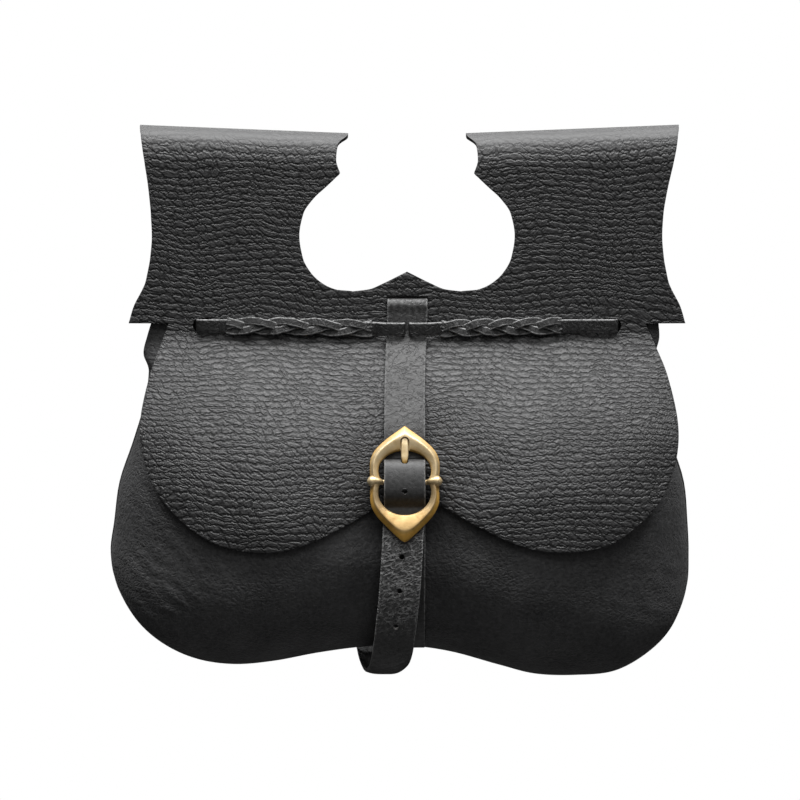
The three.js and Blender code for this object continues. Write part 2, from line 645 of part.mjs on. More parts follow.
// Outside of the pouch's front wall
function pouchFrontPoint(sideAngle, bottomAngle) {
  const [across, up] = [acrossOf(sideAngle), upOf(bottomAngle)];
  const { x, y: z } = pouchOutline(across, up, FRONT_WALL_ROW, mouthEdge);
  const rim = backDepth(x) + POUCH_HALF + GAP + POUCH_THICK * smoothRamp(RIM_LIFT_FROM, RIM_LIFT_TO, z);
  const fall = coverFall(x, z) * smoothRamp(FALL_FADE_LOW, FALL_FADE_TOP, z);
  const full = Math.max(along(FRONT_PROFILE, "z", "depth", z) - FLAP_CLEAR - coverDip(x, z) - fall, rim);
  return point(x, -(rim + (full - rim) * pouchFullness(sideAngle, up)), z);
}

// Middle of the pouch's back wall
function pouchBackPoint(sideAngle, bottomAngle) {
  const [across, up] = [acrossOf(sideAngle), upOf(bottomAngle)];
  const { x, y: z } = pouchOutline(across, up, 0, backTop);
  const bulge = BACK_BULGE * pouchFullness(sideAngle, up) * smoothRamp(-BULGE_TOP, -BULGE_FULL, -z);
  return point(x, bulge - backDepth(x), z);
}

const POUCH_DOMAIN = { a: [0, Math.PI], b: [0, Math.PI / 2], inset: RIM_INSET, slopeStep: SLOPE_STEP };

function makePouchFront() {
  const net = plainNet(steps(0, Math.PI, POUCH_COLUMNS), steps(0, Math.PI / 2, POUCH_ROWS));
  return thicken(net, pouchFrontPoint, [0, -POUCH_THICK], POUCH_DOMAIN);
}

function makePouchBack() {
  const net = plainNet(steps(0, Math.PI, BACK_COLUMNS), steps(0, Math.PI / 2, BACK_ROWS));
  const wall = thicken(net, pouchBackPoint, [POUCH_HALF, -POUCH_HALF], POUCH_DOMAIN);
  return cut(wall, [...lacingSlots(), ...middleSlits()]);
}

// Band of leather through the points of a path, with its width along a fixed direction
function band(points, width, thick, widthAxis) {
  const path = smoothPath(points);
  const net = plainNet(steps(0, 1, points.length - 1), [-width / 2, width / 2]);
  const place = (share, across) => path.getPoint(share).addScaledVector(widthAxis, across);
  const domain = { a: [0, 1], b: [-width / 2, width / 2], inset: 0, slopeStep: BAND_SLOPE_STEP };
  return thicken(net, place, [thick / 2, -thick / 2], domain);
}

const smoothPath = (points) => new THREE.CatmullRomCurve3(points, false, "centripetal");

// Point of the buckle's own plane in the bag's frame
function fromBuckle(x, u, n) {
  const [sine, cosine] = [Math.sin(BUCKLE_TILT), Math.cos(BUCKLE_TILT)];
  return point(BUCKLE.x + x, BUCKLE.y + u * sine - n * cosine, BUCKLE.z + u * cosine + n * sine);
}

// Point at a distance in front of (or behind) the middle of the cover along its normal, where the edges of
// a strap on the centre line come nearest to it
function offCover(x, z, distance) {
  const depth = (height) => coverDepth(STRAP_WIDTH / 2, height);
  const slope = (depth(z - 1) - depth(z + 1)) / 2;
  const steep = Math.hypot(1, slope);
  return point(x, -depth(z) - distance / steep, z + (distance * slope) / steep);
}

// Points of the closing strap: hidden end, turn through the panel, flap, buckle, and the loop under the bag
function closingPoints() {
  const off = COVER_HALF + GAP + STRAP_HALF;
  const hidden = STRAP_HIDDEN_Z.map((z) => point(STRAP_TOP_X, off - coverDepth(0, z), z));
  const turnY = -coverDepth(0, STRAP_SLOT_Z);
  const turn = steps(0, Math.PI, STRAP_TURN_STEPS).map((angle) => {
    const forward = (STRAP_BULGE * (1 - Math.cos(angle))) / 2;
    return point(STRAP_TOP_X, turnY + off * Math.cos(angle) - forward, STRAP_SLOT_Z + off * Math.sin(angle));
  });
  const onFlap = STRAP_FLAP_Z.map((z) => {
    const share = smoothRamp(-STRAP_SLOT_Z, -STRAP_FLAP_Z.at(-1), -z);
    return offCover(THREE.MathUtils.lerp(STRAP_TOP_X, BUCKLE.x, share), z, off + GAP / 2);
  });
  const inBuckle = CLOSING_ROUTE.filter(([u]) => u >= DRIFT_FROM_U).map(([u, n]) => fromBuckle(0, u, n));
  const below = CLOSING_ROUTE.filter(([u]) => u < DRIFT_FROM_U).map(([u, n]) => fromBuckle(0, u, n));
  let [run, before] = [0, inBuckle.at(-1)];
  const hanging = [...below, ...HANG_ROUTE].map(({ y, z }) => {
    run += Math.hypot(y - before.y, z - before.z);
    before = point(0, y, z);
    return point(BUCKLE.x - along(STRAP_DRIFT, "length", "left", run), y, z);
  });
  return [...hidden, ...turn, ...onFlap, ...inBuckle, ...hanging];
}

// Round hole through a strap, square to its path at the place nearest to a test
function holeCutter(path, distanceAt) {
  const shares = steps(0, 1, HOLE_SEARCH_STEPS);
  const nearness = shares.map((share) => distanceAt(path.getPointAt(share)));
  const share = shares[nearness.indexOf(Math.min(...nearness))];
  const across = new THREE.Vector3(1, 0, 0);
  const normal = path.getTangentAt(share).cross(across).normalize();
  const cutter = new THREE.CylinderGeometry(HOLE_RADIUS, HOLE_RADIUS, 3 * STRAP_THICK, HOLE_SIDES);
  const turn = new THREE.Quaternion().setFromUnitVectors(point(0, 1, 0), normal);
  const spot = path.getPointAt(share);
  return cutter.applyQuaternion(turn).translate(spot.x, spot.y, spot.z);
}

// Geometry drawn in the buckle's own plane, set into the bag's frame
function ontoBuckle(geometry) {
  return geometry.rotateX(Math.PI / 2 - BUCKLE_TILT).translate(BUCKLE.x, BUCKLE.y, BUCKLE.z);
}

function makeClosingStrap() {
  const points = closingPoints();
  const path = smoothPath(points);
  const strap = band(points, STRAP_WIDTH, STRAP_THICK, point(1, 0, 0));
  const inFront = (spot) => (spot.y < BUCKLE.y + STRAP_WIDTH ? 0 : STRAP_WIDTH * STRAP_WIDTH);
  const holes = [
    ...STRAP_HOLES_U.map((u) => holeCutter(path, (spot) => spot.distanceTo(fromBuckle(0, u, OPENING_SHIFT)))),
    ...STRAP_HOLES_Z.map((z) => holeCutter(path, (spot) => Math.abs(spot.z - z) + inFront(spot))),
  ];
  const pinSlot = new THREE.ExtrudeGeometry(slotShape(PIN_SLOT.width, PIN_SLOT.length), {
    depth: STRAP_WIDTH / 2, bevelEnabled: false, curveSegments: SLOT_SEGMENTS,
  });
  ontoBuckle(pinSlot.translate(0, PIN_SLOT.u, -STRAP_WIDTH / 4));
  return cut(strap, [...holes, pinSlot, ...middleSlits()]);
}

// Points of the strap that holds the buckle: its short end behind, round the bar, down the pouch and round
// its bottom
function holderPoints() {
  const rear = HOLDER_REAR.map(([u, n]) => fromBuckle(0, u, n));
  const loop = BAR_RADIUS + GAP + STRAP_HALF;
  const round = steps(-Math.PI / 2, Math.PI / 2, HOLDER_LOOP_STEPS)
    .map((angle) => fromBuckle(0, loop * Math.cos(angle), BAR_N + loop * Math.sin(angle)));
  const front = HOLDER_FRONT.map(([u, n]) => fromBuckle(0, u, n));
  const off = GAP + STRAP_HALF + HOLDER_SLACK;
  const wallAt = (angle) => pouchFrontPoint(HOLDER_EDGE_ANGLE, angle);
  const low = steps(HOLDER_END, Math.PI / 2, HOLDER_STEPS).filter((angle) => wallAt(angle).z < HOLDER_LOW);
  const onPouch = low.reverse().map((angle) => {
    const slope = wallAt(angle + SLOPE_STEP).sub(wallAt(angle)).normalize();
    return point(BUCKLE.x, wallAt(angle).y - off * slope.z, wallAt(angle).z + off * slope.y);
  });
  return [...rear, ...round, ...front, ...onPouch];
}

function makeBuckleStrap() {
  const strap = band(holderPoints(), STRAP_WIDTH, STRAP_THICK, point(1, 0, 0));
  const width = PIN_WIDTH + 2 * GAP;
  const reach = 2 * (EYE_RADIUS + STRAP_THICK);
  const eyeSlot = ontoBuckle(new THREE.BoxGeometry(width, reach, reach).translate(0, STRAP_THICK, BAR_N));
  return cut(strap, [eyeSlot]);
}

// Ring of sections, each a row of points, joined all the way round
function ringSolid(sections) {
  const size = sections[0].length;
  const triangles = sections.flatMap((_, i) => sections[0].flatMap((__, j) => {
    const next = ((i + 1) % sections.length) * size;
    const [a, b] = [i * size + j, i * size + ((j + 1) % size)];
    const [c, d] = [next + ((j + 1) % size), next + j];
    return [[a, c, b], [a, d, c]];
  }));
  return indexed(sections.flat(), triangles);
}

// Right half of the opening's edge, from the top to the bottom: two ellipses that meet in a cusp
function openingEdge(share) {
  const upper = share <= 0.5;
  const height = upper ? OPENING_TOP : OPENING_BOTTOM;
  const cusp = Math.asin(OPENING_SHIFT / height);
  const local = upper ? share * 2 : (1 - share) * 2;
  const angle = Math.PI / 2 - local * (Math.PI / 2 + cusp);
  const u = OPENING_SHIFT + height * Math.sin(angle);
  return [OPENING_HALF_WIDTH * Math.cos(angle), upper ? u : -u];
}

function makeBuckleFrame() {
  const outerCurve = new THREE.SplineCurve(FRAME_OUTER.map(({ x, u }) => new THREE.Vector2(x, u)));
  const section = (share, mirror) => {
    const [innerX, innerU] = openingEdge(share);
    const outer = outerCurve.getPoint(share);
    const ridge = new THREE.Vector2(innerX, innerU).lerp(outer, RIDGE_SHARE);
    return [
      point(mirror * innerX, innerU, FRAME_BACK),
      point(mirror * innerX, innerU, FRAME_INNER_FRONT),
      point(mirror * ridge.x, ridge.y, FRAME_RIDGE),
      point(mirror * outer.x, outer.y, FRAME_OUTER_FRONT),
      point(mirror * outer.x, outer.y, FRAME_BACK),
    ];
  };
  const shares = steps(0, 1, FRAME_STEPS);
  const right = shares.map((share) => section(share, 1));
  const left = shares.slice(1, -1).reverse().map((share) => section(share, -1));
  const ring = ringSolid([...right, ...left]);
  const bar = new THREE.CylinderGeometry(BAR_RADIUS, BAR_RADIUS, 2 * BAR_HALF_LENGTH, ROUND_SIDES)
    .rotateZ(Math.PI / 2).translate(0, 0, BAR_N);
  const knobs = [-1, 1].map((side) => new THREE.SphereGeometry(KNOB_RADIUS, ROUND_SIDES, ROUND_SIDES / 2)
    .translate(side * KNOB_X, 0, 0));
  const recessHeight = 2 * (RECESS_TOP - OPENING_SHIFT);
  const recess = new THREE.ExtrudeGeometry(slotShape(2 * RECESS_HALF_WIDTH, recessHeight), {
    depth: 2 * FRAME_RIDGE, bevelEnabled: false, curveSegments: SLOT_SEGMENTS,
  }).translate(0, OPENING_SHIFT, PIN_N - PIN_THICK / 2 - GAP);
  return cut(join([ring, bar, ...knobs]), [recess]);
}

function makeBucklePin() {
  const ring = new THREE.Shape();
  ring.absarc(0, 0, EYE_RADIUS, 0, 2 * Math.PI);
  const hole = new THREE.Path();
  hole.absarc(0, 0, BAR_RADIUS + GAP, 0, 2 * Math.PI, true);
  ring.holes.push(hole);
  const eye = new THREE.ExtrudeGeometry(ring, {
    depth: PIN_WIDTH, bevelEnabled: false, curveSegments: ROUND_SIDES,
  }).translate(0, 0, -PIN_WIDTH / 2).rotateY(Math.PI / 2).translate(0, 0, BAR_N);
  const tip = RECESS_TOP - GAP;
  const half = PIN_WIDTH / 2;
  const outline = new THREE.Shape();
  outline.moveTo(-half, PIN_START);
  outline.lineTo(half, PIN_START);
  outline.lineTo(half, tip - half);
  outline.absarc(0, tip - half, half, 0, Math.PI);
  const blade = new THREE.ExtrudeGeometry(outline, {
    depth: PIN_THICK, bevelEnabled: false, curveSegments: PIN_TIP_SEGMENTS,
  }).translate(0, 0, PIN_N - PIN_THICK / 2);
  return join([eye, blade]);
}

// One lacing: the flat strip through both slots, and the braided strands between its flat ends
function makeLacing({ side, braidFrom, braidTo, strandPitch }) {
  const onCover = (x) => -coverDepth(x, LACE_LOW + laceZ(x) - LACE_Z) - COVER_HALF - LACE_GAP - LACE_HALF;
  const overStrap = STRAP_THICK + 3 * GAP;
  const frontY = (x) => onCover(x) - overStrap * (1 - smoothRamp(LACE_STEP_FROM, LACE_STEP_TO, x));
  const behindWall = (x) => -backDepth(x) + POUCH_HALF + LACE_GAP + LACE_HALF;
  const behindLeaf = (x) => rearLeafY(x, LACE_HIGH) + COVER_HALF + LACE_GAP + LACE_HALF;
  const corner = (x, y, from) => steps(from, from + Math.PI / 2, LACE_CORNER_STEPS)
    .map((angle) => [x + LACE_TURN * Math.cos(angle), y + LACE_TURN * Math.sin(angle)]);
  const up = point(0, 0, 1);
  const strip = (pairs) => {
    const route = pairs.map(([x, y]) => point(side * x, y, laceZ(x)));
    return band(route, LACE_WIDTH, LACE_THICK, up);
  };

  const middleTurn = LACE_MIDDLE_X + LACE_TURN;
  const slotTurn = LACE_SLOT_X - LACE_TURN;
  const middleBack = behindWall(0);
  const slotBack = behindLeaf(LACE_SLOT_X);
  const tailTurn = LACE_SLOT_X + LACE_TURN;
  const middleEnd = [
    [middleTurn + LACE_TAIL, middleBack],
    [middleTurn + LACE_TAIL / 2, middleBack],
    ...corner(middleTurn, middleBack - LACE_TURN, Math.PI / 2),
    ...corner(middleTurn, frontY(0) + LACE_TURN, Math.PI),
    ...steps(LACE_RISE_FROM, braidFrom, LACE_RISE_STEPS).map((x) => [x, frontY(x)]),
    [braidFrom + STRAND_OVERLAP, frontY(braidFrom)],
  ];
  const slotEnd = [
    ...steps(braidTo - STRAND_OVERLAP, slotTurn - LACE_HALF, LACE_FLAT_STEPS).map((x) => [x, frontY(x)]),
    ...corner(slotTurn, frontY(slotTurn) + LACE_TURN, -Math.PI / 2),
    ...corner(tailTurn, slotBack - LACE_TURN, Math.PI / 2).reverse(),
    [tailTurn + LACE_TAIL / 2, behindLeaf(tailTurn + LACE_TAIL / 2)],
    [tailTurn + LACE_TAIL, behindLeaf(tailTurn + LACE_TAIL)],
  ];
  const strands = steps(0, STRAND_COUNT - 1, STRAND_COUNT - 1).map((k) => {
    const route = steps(braidFrom, braidTo, Math.round((braidTo - braidFrom) / STRAND_STEP)).map((x) => {
      const turn = 2 * Math.PI * ((x - braidFrom) / strandPitch + k / STRAND_COUNT);
      const open = smoothRamp(0, strandPitch / 4, Math.min(x - braidFrom, braidTo - x));
      const y = frontY(x) - open * STRAND_LIFT * (1 + Math.sin(2 * turn));
      return point(side * x, y, laceZ(x) + STRAND_SWING * Math.sin(turn));
    });
    return band(route, STRAND_WIDTH, LACE_THICK, up);
  });
  return join([strip(middleEnd), strip(slotEnd), ...strands]);
}

function mesh(name, geometry, finish) {
  geometry.computeVertexNormals();
  const made = new THREE.Mesh(geometry, new THREE.MeshStandardMaterial(finish));
  made.name = name;
  return made;
}

const bag = new THREE.Group();
bag.add(mesh("cover", makeCover(), LEATHER_GRAIN));
bag.add(mesh("pouch_front", makePouchFront(), LEATHER_MATTE));
bag.add(mesh("pouch_back", makePouchBack(), LEATHER_MATTE));
bag.add(mesh("closing_strap", makeClosingStrap(), LEATHER_STRAP));
bag.add(mesh("buckle_strap", makeBuckleStrap(), LEATHER_STRAP));
LACINGS.forEach((lacing) => bag.add(mesh(lacing.name, makeLacing(lacing), LEATHER_STRAP)));

const buckle = new THREE.Group();
buckle.position.set(BUCKLE.x, BUCKLE.y, BUCKLE.z);
buckle.rotation.x = Math.PI / 2 - BUCKLE_TILT;
buckle.add(mesh("buckle_frame", makeBuckleFrame(), BRASS));
buckle.add(mesh("buckle_pin", makeBucklePin(), BRASS));
bag.add(buckle);

export default bag;
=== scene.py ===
import math
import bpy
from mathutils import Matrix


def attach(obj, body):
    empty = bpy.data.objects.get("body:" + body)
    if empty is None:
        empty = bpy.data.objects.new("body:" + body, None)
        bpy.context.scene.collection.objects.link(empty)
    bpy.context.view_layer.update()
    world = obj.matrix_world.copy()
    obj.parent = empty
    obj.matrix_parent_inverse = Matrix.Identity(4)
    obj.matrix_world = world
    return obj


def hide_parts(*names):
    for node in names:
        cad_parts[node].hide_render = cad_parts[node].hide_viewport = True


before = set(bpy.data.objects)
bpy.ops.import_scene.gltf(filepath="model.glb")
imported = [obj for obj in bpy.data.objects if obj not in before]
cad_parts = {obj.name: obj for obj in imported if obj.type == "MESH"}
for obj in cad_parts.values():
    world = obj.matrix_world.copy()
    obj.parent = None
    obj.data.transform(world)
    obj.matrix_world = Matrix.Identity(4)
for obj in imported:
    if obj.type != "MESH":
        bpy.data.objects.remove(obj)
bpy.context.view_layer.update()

from types import SimpleNamespace as Values

import bmesh
import bpy
import numpy as np

# Shapes are worked out in millimetres and stored in metres. +X is to the right as seen from the front, -Y is
# the front and +Z is up. The origin is the middle of the passage that the belt runs through.
MM = 0.001


def table(columns, *rows):
    """Short table as named columns."""
    return dict(zip(columns.split(), np.array(rows, dtype=float).T))


# Thicknesses of the leathers and the clear space between pieces that lie on each other
COVER_THICK = 2.0
POUCH_THICK = 1.6
STRAP_THICK = 1.8
LACE_THICK = 1.8
GAP = 0.35
COVER_HALF = COVER_THICK / 2
POUCH_HALF = POUCH_THICK / 2
STRAP_HALF = STRAP_THICK / 2
LACE_HALF = LACE_THICK / 2

# Belt roll at the top of each wing of the cover, and the panel below it
ROLL_RADIUS = 8.5
ROLL_Z = 37.3
ROLL_LIFT = 2.0
ROLL_MIDDLE = 81.0
ROLL_HALF_LENGTH = 51.0
ROLL_RUN = math.pi * ROLL_RADIUS
REAR_TOP = ROLL_Z + ROLL_RUN
REAR_END = -62.0
REAR_BOTTOM = REAR_TOP + ROLL_Z - REAR_END
WRAP_REACH = 134.0
WING_LEAN = 1.2
DIP_WIDTH = 30.0
PANEL_BOTTOM = -49.8
KEYHOLE_BOTTOM = -33.6
NOTCH_X = 119.0

# Front of the cover by height: depth in front of the belt line, dip at the centre, fall at the sides
FRONT_PROFILE = table(
    "z depth dip fall",
    (-240, 67.0, 9.0, 22.0), (-165, 67.0, 10.5, 22.0), (-150, 66.0, 12.0, 21.5), (-135, 63.6, 12.6, 20.0),
    (-120, 58.6, 11.4, 17.5), (-105, 51.0, 8.0, 14.5), (-90, 40.3, 4.6, 11.0), (-76, 28.3, 2.2, 7.8),
    (-66, 19.0, 0.8, 5.6), (-59, 13.2, 0.2, 4.4), (-54.5, 10.7, 0.0, 3.8), (-47, 10.0, 0.0, 3.4),
    (-36, 9.6, 0.0, 3.2), (0, 8.9, 0.0, 3.0), (ROLL_Z, ROLL_RADIUS, 0.0, 3.0),
)

# Rear leaf of a wing by height: how far behind the belt line it hangs
REAR_PROFILE = table(
    "z y",
    (-64, -2.7), (-52, -2.8), (-45, -2.5), (-36, -0.6), (-24, 4.4), (-10, 7.9), (10, 8.6),
    (ROLL_Z, ROLL_RADIUS),
)

# Edges of a wing up the front leaf, over the roll and down the rear leaf
WING_EDGE = table(
    "run inner outer",
    (PANEL_BOTTOM, 27.0, 139.0), (-41.5, 27.0, 136.5), (KEYHOLE_BOTTOM, 27.0, 132.4), (-32.8, 35.0, 132.0),
    (-29.6, 42.2, 130.6), (-24.5, 47.8, 129.4), (-17, 51.9, 128.0), (-6, 53.6, 127.1), (5, 51.6, 127.6),
    (13, 46.4, 128.6), (19, 40.4, 129.6), (24, 35.6, 130.6), (26.8, 33.3, 131.2), (28.6, 34.0, 131.5),
    (33.5, 35.2, 132.5), (ROLL_Z + 3, 34.6, 133.6), (ROLL_Z + ROLL_RUN * 0.37, 29.6, 134.6),
    (ROLL_Z + ROLL_RUN * 0.5, 29.4, 134.8), (REAR_TOP - 3, 35.5, 132.4),
    (REAR_TOP + 16, 44.0, 127.0), (REAR_TOP + 40, 58.0, 122.5), (REAR_TOP + 70, 61.0, 121.0),
    (REAR_BOTTOM, 66.0, 117.0),
)
BRIDGE_EDGE = table("x z", (0, -23.8), (5.8, -26.7), (11.5, -29.5), (19, -32.6), (27, KEYHOLE_BOTTOM))
BRIDGE_END = 27.0

# Edge of the flap from the notch beside the panel, round its lobe and up to the cusp in the middle
FLAP_EDGE = table(
    "left_x left_z right_x right_z",
    (-NOTCH_X, PANEL_BOTTOM, NOTCH_X, PANEL_BOTTOM), (-123.2, -62.0, 124.0, -61.6),
    (-128.0, -77.0, 129.3, -76.0), (-131.3, -97.0, 133.3, -98.0), (-128.8, -115.0, 131.3, -116.5),
    (-121.6, -130.0, 123.6, -133.9), (-110.0, -142.9, 112.0, -145.4), (-93.0, -153.4, 97.8, -154.2),
    (-73.0, -156.9, 77.0, -157.0), (-54.0, -154.4, 57.0, -154.2), (-32.0, -145.3, 35.0, -144.6),
    (-15.0, -136.0, 16.2, -135.0), (0, -128.5, 0, -128.5),
)
FLAP_CORNER = 6
FLAP_CUSP = 12

# Unevenness of the cover: low swells of the flap, the roll leaning back, and the stretch of the rolled grain
FLAP_SWELL = 0.35
FLAP_SWELL_FADE = (-60.0, -90.0)
FLAP_WAVES = {"seed": 3, "count": 7, "length": 46.0, "heading": 1.2, "spread": 1.2}
ROLL_LEAN = 3.0
LEAN_FROM = 29.0
LEAN_FULL = ROLL_Z + 9.0
STRETCH_IN = (ROLL_Z - 7.0, ROLL_Z + 9.0)
STRETCH_OUT = (REAR_TOP - 4.0, REAR_TOP + 12.0)
COVER_EDGE = 0.42

# Line along which the length of the leather is measured for its grain
GRAIN_LINE_X = 60.0
GRAIN_LOW = -170.0

# Seam of the pouch, from the top of its left side down, round the two lobes and up the right side
SEAM = table(
    "x z",
    (-125.8, -43), (-126.8, -46), (-130, -56), (-132, -65), (-129.4, -74), (-131.2, -90), (-137.2, -110),
    (-144.1, -130), (-147, -150), (-149, -167), (-144.8, -184), (-128.8, -199.5), (-118.4, -211.5),
    (-104, -218.8), (-86, -221.4), (-66, -219.6), (-44, -215.4), (-22, -212.6), (0, -212.2), (22, -215),
    (46, -221.6), (64, -226.2), (84, -227), (104, -224.8), (121, -214.4), (133.3, -199.5), (140.6, -184),
    (141.6, -167), (140.8, -150), (138.8, -130), (132.4, -110), (127.2, -90), (124.7, -74), (124.2, -65),
    (126.3, -56), (125.4, -46), (124.6, -43),
)
SEAM_POINTS = np.stack([SEAM["x"], SEAM["z"]], axis=1)
SEAM_LEFT_CORNER = 11
SEAM_RIGHT_CORNER = 25
SEAM_LAST = 36
FRONT_WALL_ROW = 1
MOUTH_EDGE = table("x z", (0, -62), (60, -62), (88, -60.5), (108, -56.5), (119, -51.5), (127, -46))
BACK_TOP_EDGE = table("x z", (0, -32), (11, -32.6), (19, -36.5), (32, -43), (130, -43))
FLAP_CLEAR = 2.6
BACK_SETBACK = 4.9
BACK_BULGE = 5.0
BULGE_TOP = -64.0
BULGE_FULL = -115.0
FALL_FADE_LOW = -110.0
FALL_FADE_TOP = -62.0
RIM_LIFT_FROM = -95.0
RIM_LIFT_TO = -66.0
SIDE_ROUNDING = 3.0
BOTTOM_ROUNDING = 2.3
BOTTOM_SHARE = 0.34
ROUNDING_BLEND = 4.0
LEAST_ROUNDING = 1e-6
POUCH_EDGE = 0.35

# Unevenness of the pouch: soft swells of both walls, and folds towards the sides of the front wall
POUCH_SWELL = 0.5
POUCH_WAVES = {"seed": 5, "count": 6, "length": 60.0, "heading": 0.4, "spread": 1.5}
SWELL_SIDE_POWER = 0.5
SWELL_FROM_SEAM = (0.05, 0.4)
SWELL_FROM_TOP = (-85.0, -120.0)
FOLD_HEIGHT = 0.35
FOLD_WAVES = {"seed": 11, "count": 9, "length": 9.0, "heading": 0.9, "spread": 0.5}
FOLD_LEAN = 0.35
FOLD_FROM_MIDDLE = (70.0, 128.0)
FOLD_FROM_BOTTOM = (-215.0, -180.0)
FOLD_FROM_TOP = (-85.0, -110.0)
BACK_SWELL = 0.3
BACK_SWELL_FADE = (-70.0, -110.0)
BACK_WAVES = {"seed": 8, "count": 6, "length": 50.0, "heading": 0.4, "spread": 1.5}

# Lacings: flat ends, slots and slits, and the strands that are plaited between the ends
LACE_WIDTH = 6.6
LACE_Z = -50.7
LACE_LOW = -54.0
LACE_HIGH = -47.4
LACE_GAP = 0.6
LACE_SLOT_X = 104.4
LACE_MIDDLE_X = 1.75
LACE_SAG = 1.4
LACE_SAG_REACH = 70.0
LACE_TURN = 1.25
LACE_TAIL = 10.0
LACE_RISE_FROM = 10.2
LACE_STEP_FROM = 12.0
LACE_STEP_TO = 16.0
SLOT_HEIGHT = 7.6
SLOT_INNER = 103.1
SLOT_OUTER = 105.9
SLOT_OPEN = 1.0
SLOT_FRONT_BACK = -6.2
SLIT_FRONT = -17.0
SLIT_PANEL_BACK = -4.2
SLIT_LEAF_BACK = 8.5
SLIT_MIDDLE_BACK = 0.0
CLOSE_FIT = 0.04
LACE_EDGE = 0.85
# Reach of the lacings' pale edges, a painted highlight along them
LACE_EDGE_HIGHLIGHT = 0.65
LACE_CREASED = 0.1
LACINGS = {
    "lacing_left": {"side": -1, "braid_from": 17.4, "braid_to": 90.2, "pitch": 48.0},
    "lacing_right": {"side": 1, "braid_from": 16.9, "braid_to": 77.2, "pitch": 36.0},
}
STRANDS = 3
STRAND_OVERLAP = 2.5
STRAND_HALF_WIDTH = 1.9
STRAND_HALF_THICK = 0.75
STRAND_EDGE = 0.3
STRAND_SWING = 2.6
STRAND_LIFT = 1.0
STRAND_SINK = 0.5
STRAND_TILT = 0.35
STRAND_OPENING_PART = 5
STRAND_UNEVEN = 0.06
STRAND_SEED = 31
STRAND_WAVES = {"count": 5, "length": 6.0, "heading": 0.0, "spread": 0.3}

# Straps. The closing route and the holder's routes lie in the buckle's own plane, up and out of it, and the
# hanging route gives depth and height in the bag's frame.
STRAP_WIDTH = 20.0
STRAP_EDGE = 0.4
STRAP_EDGE_RUB = 0.55
STRAP_FRONT_Y = -40.0
STRAP_SLOT_Z = -40.3
STRAP_BULGE = 0.8
STRAP_SLOT_WIDTH = 20.8
STRAP_SLOT_HEIGHT = 4.2
STRAP_SLOT_LIFT = 2.4
STRAP_TOP_X = 0.2
STRAP_HIDDEN_Z = (-55.5, -51.5, -47, -43)
STRAP_FLAP_Z = (-44, -49, -54, -58, -62, -67, -75, -84)
STRAP_DRIFT = table(
    "length left",
    (0, 0), (25, 1.4), (40, 2.3), (62, 4.5), (82, 6.7), (110, 10.4), (155, 17.0), (185, 20.0),
)
DRIFT_FROM_U = -12.0
HOLE_RADIUS = 1.3
STRAP_HOLES_U = (-6.2,)
STRAP_HOLES_Z = (-159.1, -175.5, -193.7)
PIN_SLOT_WIDTH = 3.6
PIN_SLOT_LENGTH = 5.2
PIN_SLOT_U = 11.0
PIN_SLOT_REACH = 5.0
HOLE_REACH = 3 * STRAP_HALF
HOLE_SEARCH_PENALTY = 1e3
CLOSING_ROUTE = np.array([
    (31, -4.8), (25, -3.5), (20, -3.2), (16, -3.15), (12.9, -3.1), (11.9, -2.98), (11.0, -2.1), (10.3, -0.5),
    (9.4, 1.0), (7.8, 2.2), (5.2, 3.2), (2, 3.7), (-2, 3.6), (-5.2, 3.0), (-7.6, 1.9), (-9.3, 0.2),
    (-10.6, -1.7), (-11.9, -3.0), (-14.0, -3.12), (-17, -3.15), (-21, -3.2), (-29, -3.5), (-34, -4.2),
])
HANG_ROUTE = np.array([
    (-65.4, -166), (-64.6, -180), (-61.4, -194), (-55.0, -207), (-45.0, -217), (-32.0, -222), (-18.0, -222.6),
    (-5.0, -219.4), (4.0, -211), (7.6, -200), (8.2, -186),
])
HOLDER_FRONT = np.array([
    (-3.4, 0.7), (-6.2, -1.05), (-8.8, -3.6), (-11.5, -5.25), (-15, -5.65), (-21, -6.1),
])
HOLDER_REAR = np.array([(-20.5, -8.4), (-15, -7.95), (-11, -7.1), (-8, -5.4), (-4, -4.2)])
HOLDER_LOW = -158.0
HOLDER_END = 0.31
HOLDER_EDGE_ANGLE = math.pi / 2 + 0.085
HOLDER_STEPS = 14
HOLDER_SLACK = 0.95
SLOPE_STEP = 0.01
EYE_SLIT_LOW = -2.9
EYE_SLIT_TOP = 6.5
EYE_SLIT_REACH = 4.7

# Creases, smooth stretches and the painted highlight on the tab's bend of the closing strap, and the cupped
# loop under the bag
CREASE_HEIGHT = 0.16
CREASE_WIDTH = 0.25
CREASE_WAVES = {"seed": 21, "count": 8, "length": 7.0, "heading": 1.2, "spread": 0.9}
CREASED_FROM_TOP = (-138.0, -156.0)
CREASED_FROM_BOTTOM = (-206.0, -176.0)
SMOOTH_FROM_TOP = (-98.0, -108.0)
SMOOTH_FROM_BOTTOM = (-148.0, -138.0)
# Painted highlight on the bend where the closing strap comes out of its slot
TAB_HIGHLIGHT = 0.25
TAB_RANGE = (-50.0, -44.0)
TAB_FRONT_Y = -10.0
CUP_RANGE = (-204.0, -226.0)
CUP_FROM = 0.1
CUP_POWER = 3
CUP_RIGHT = 4.6
CUP_LEFT = 1.6

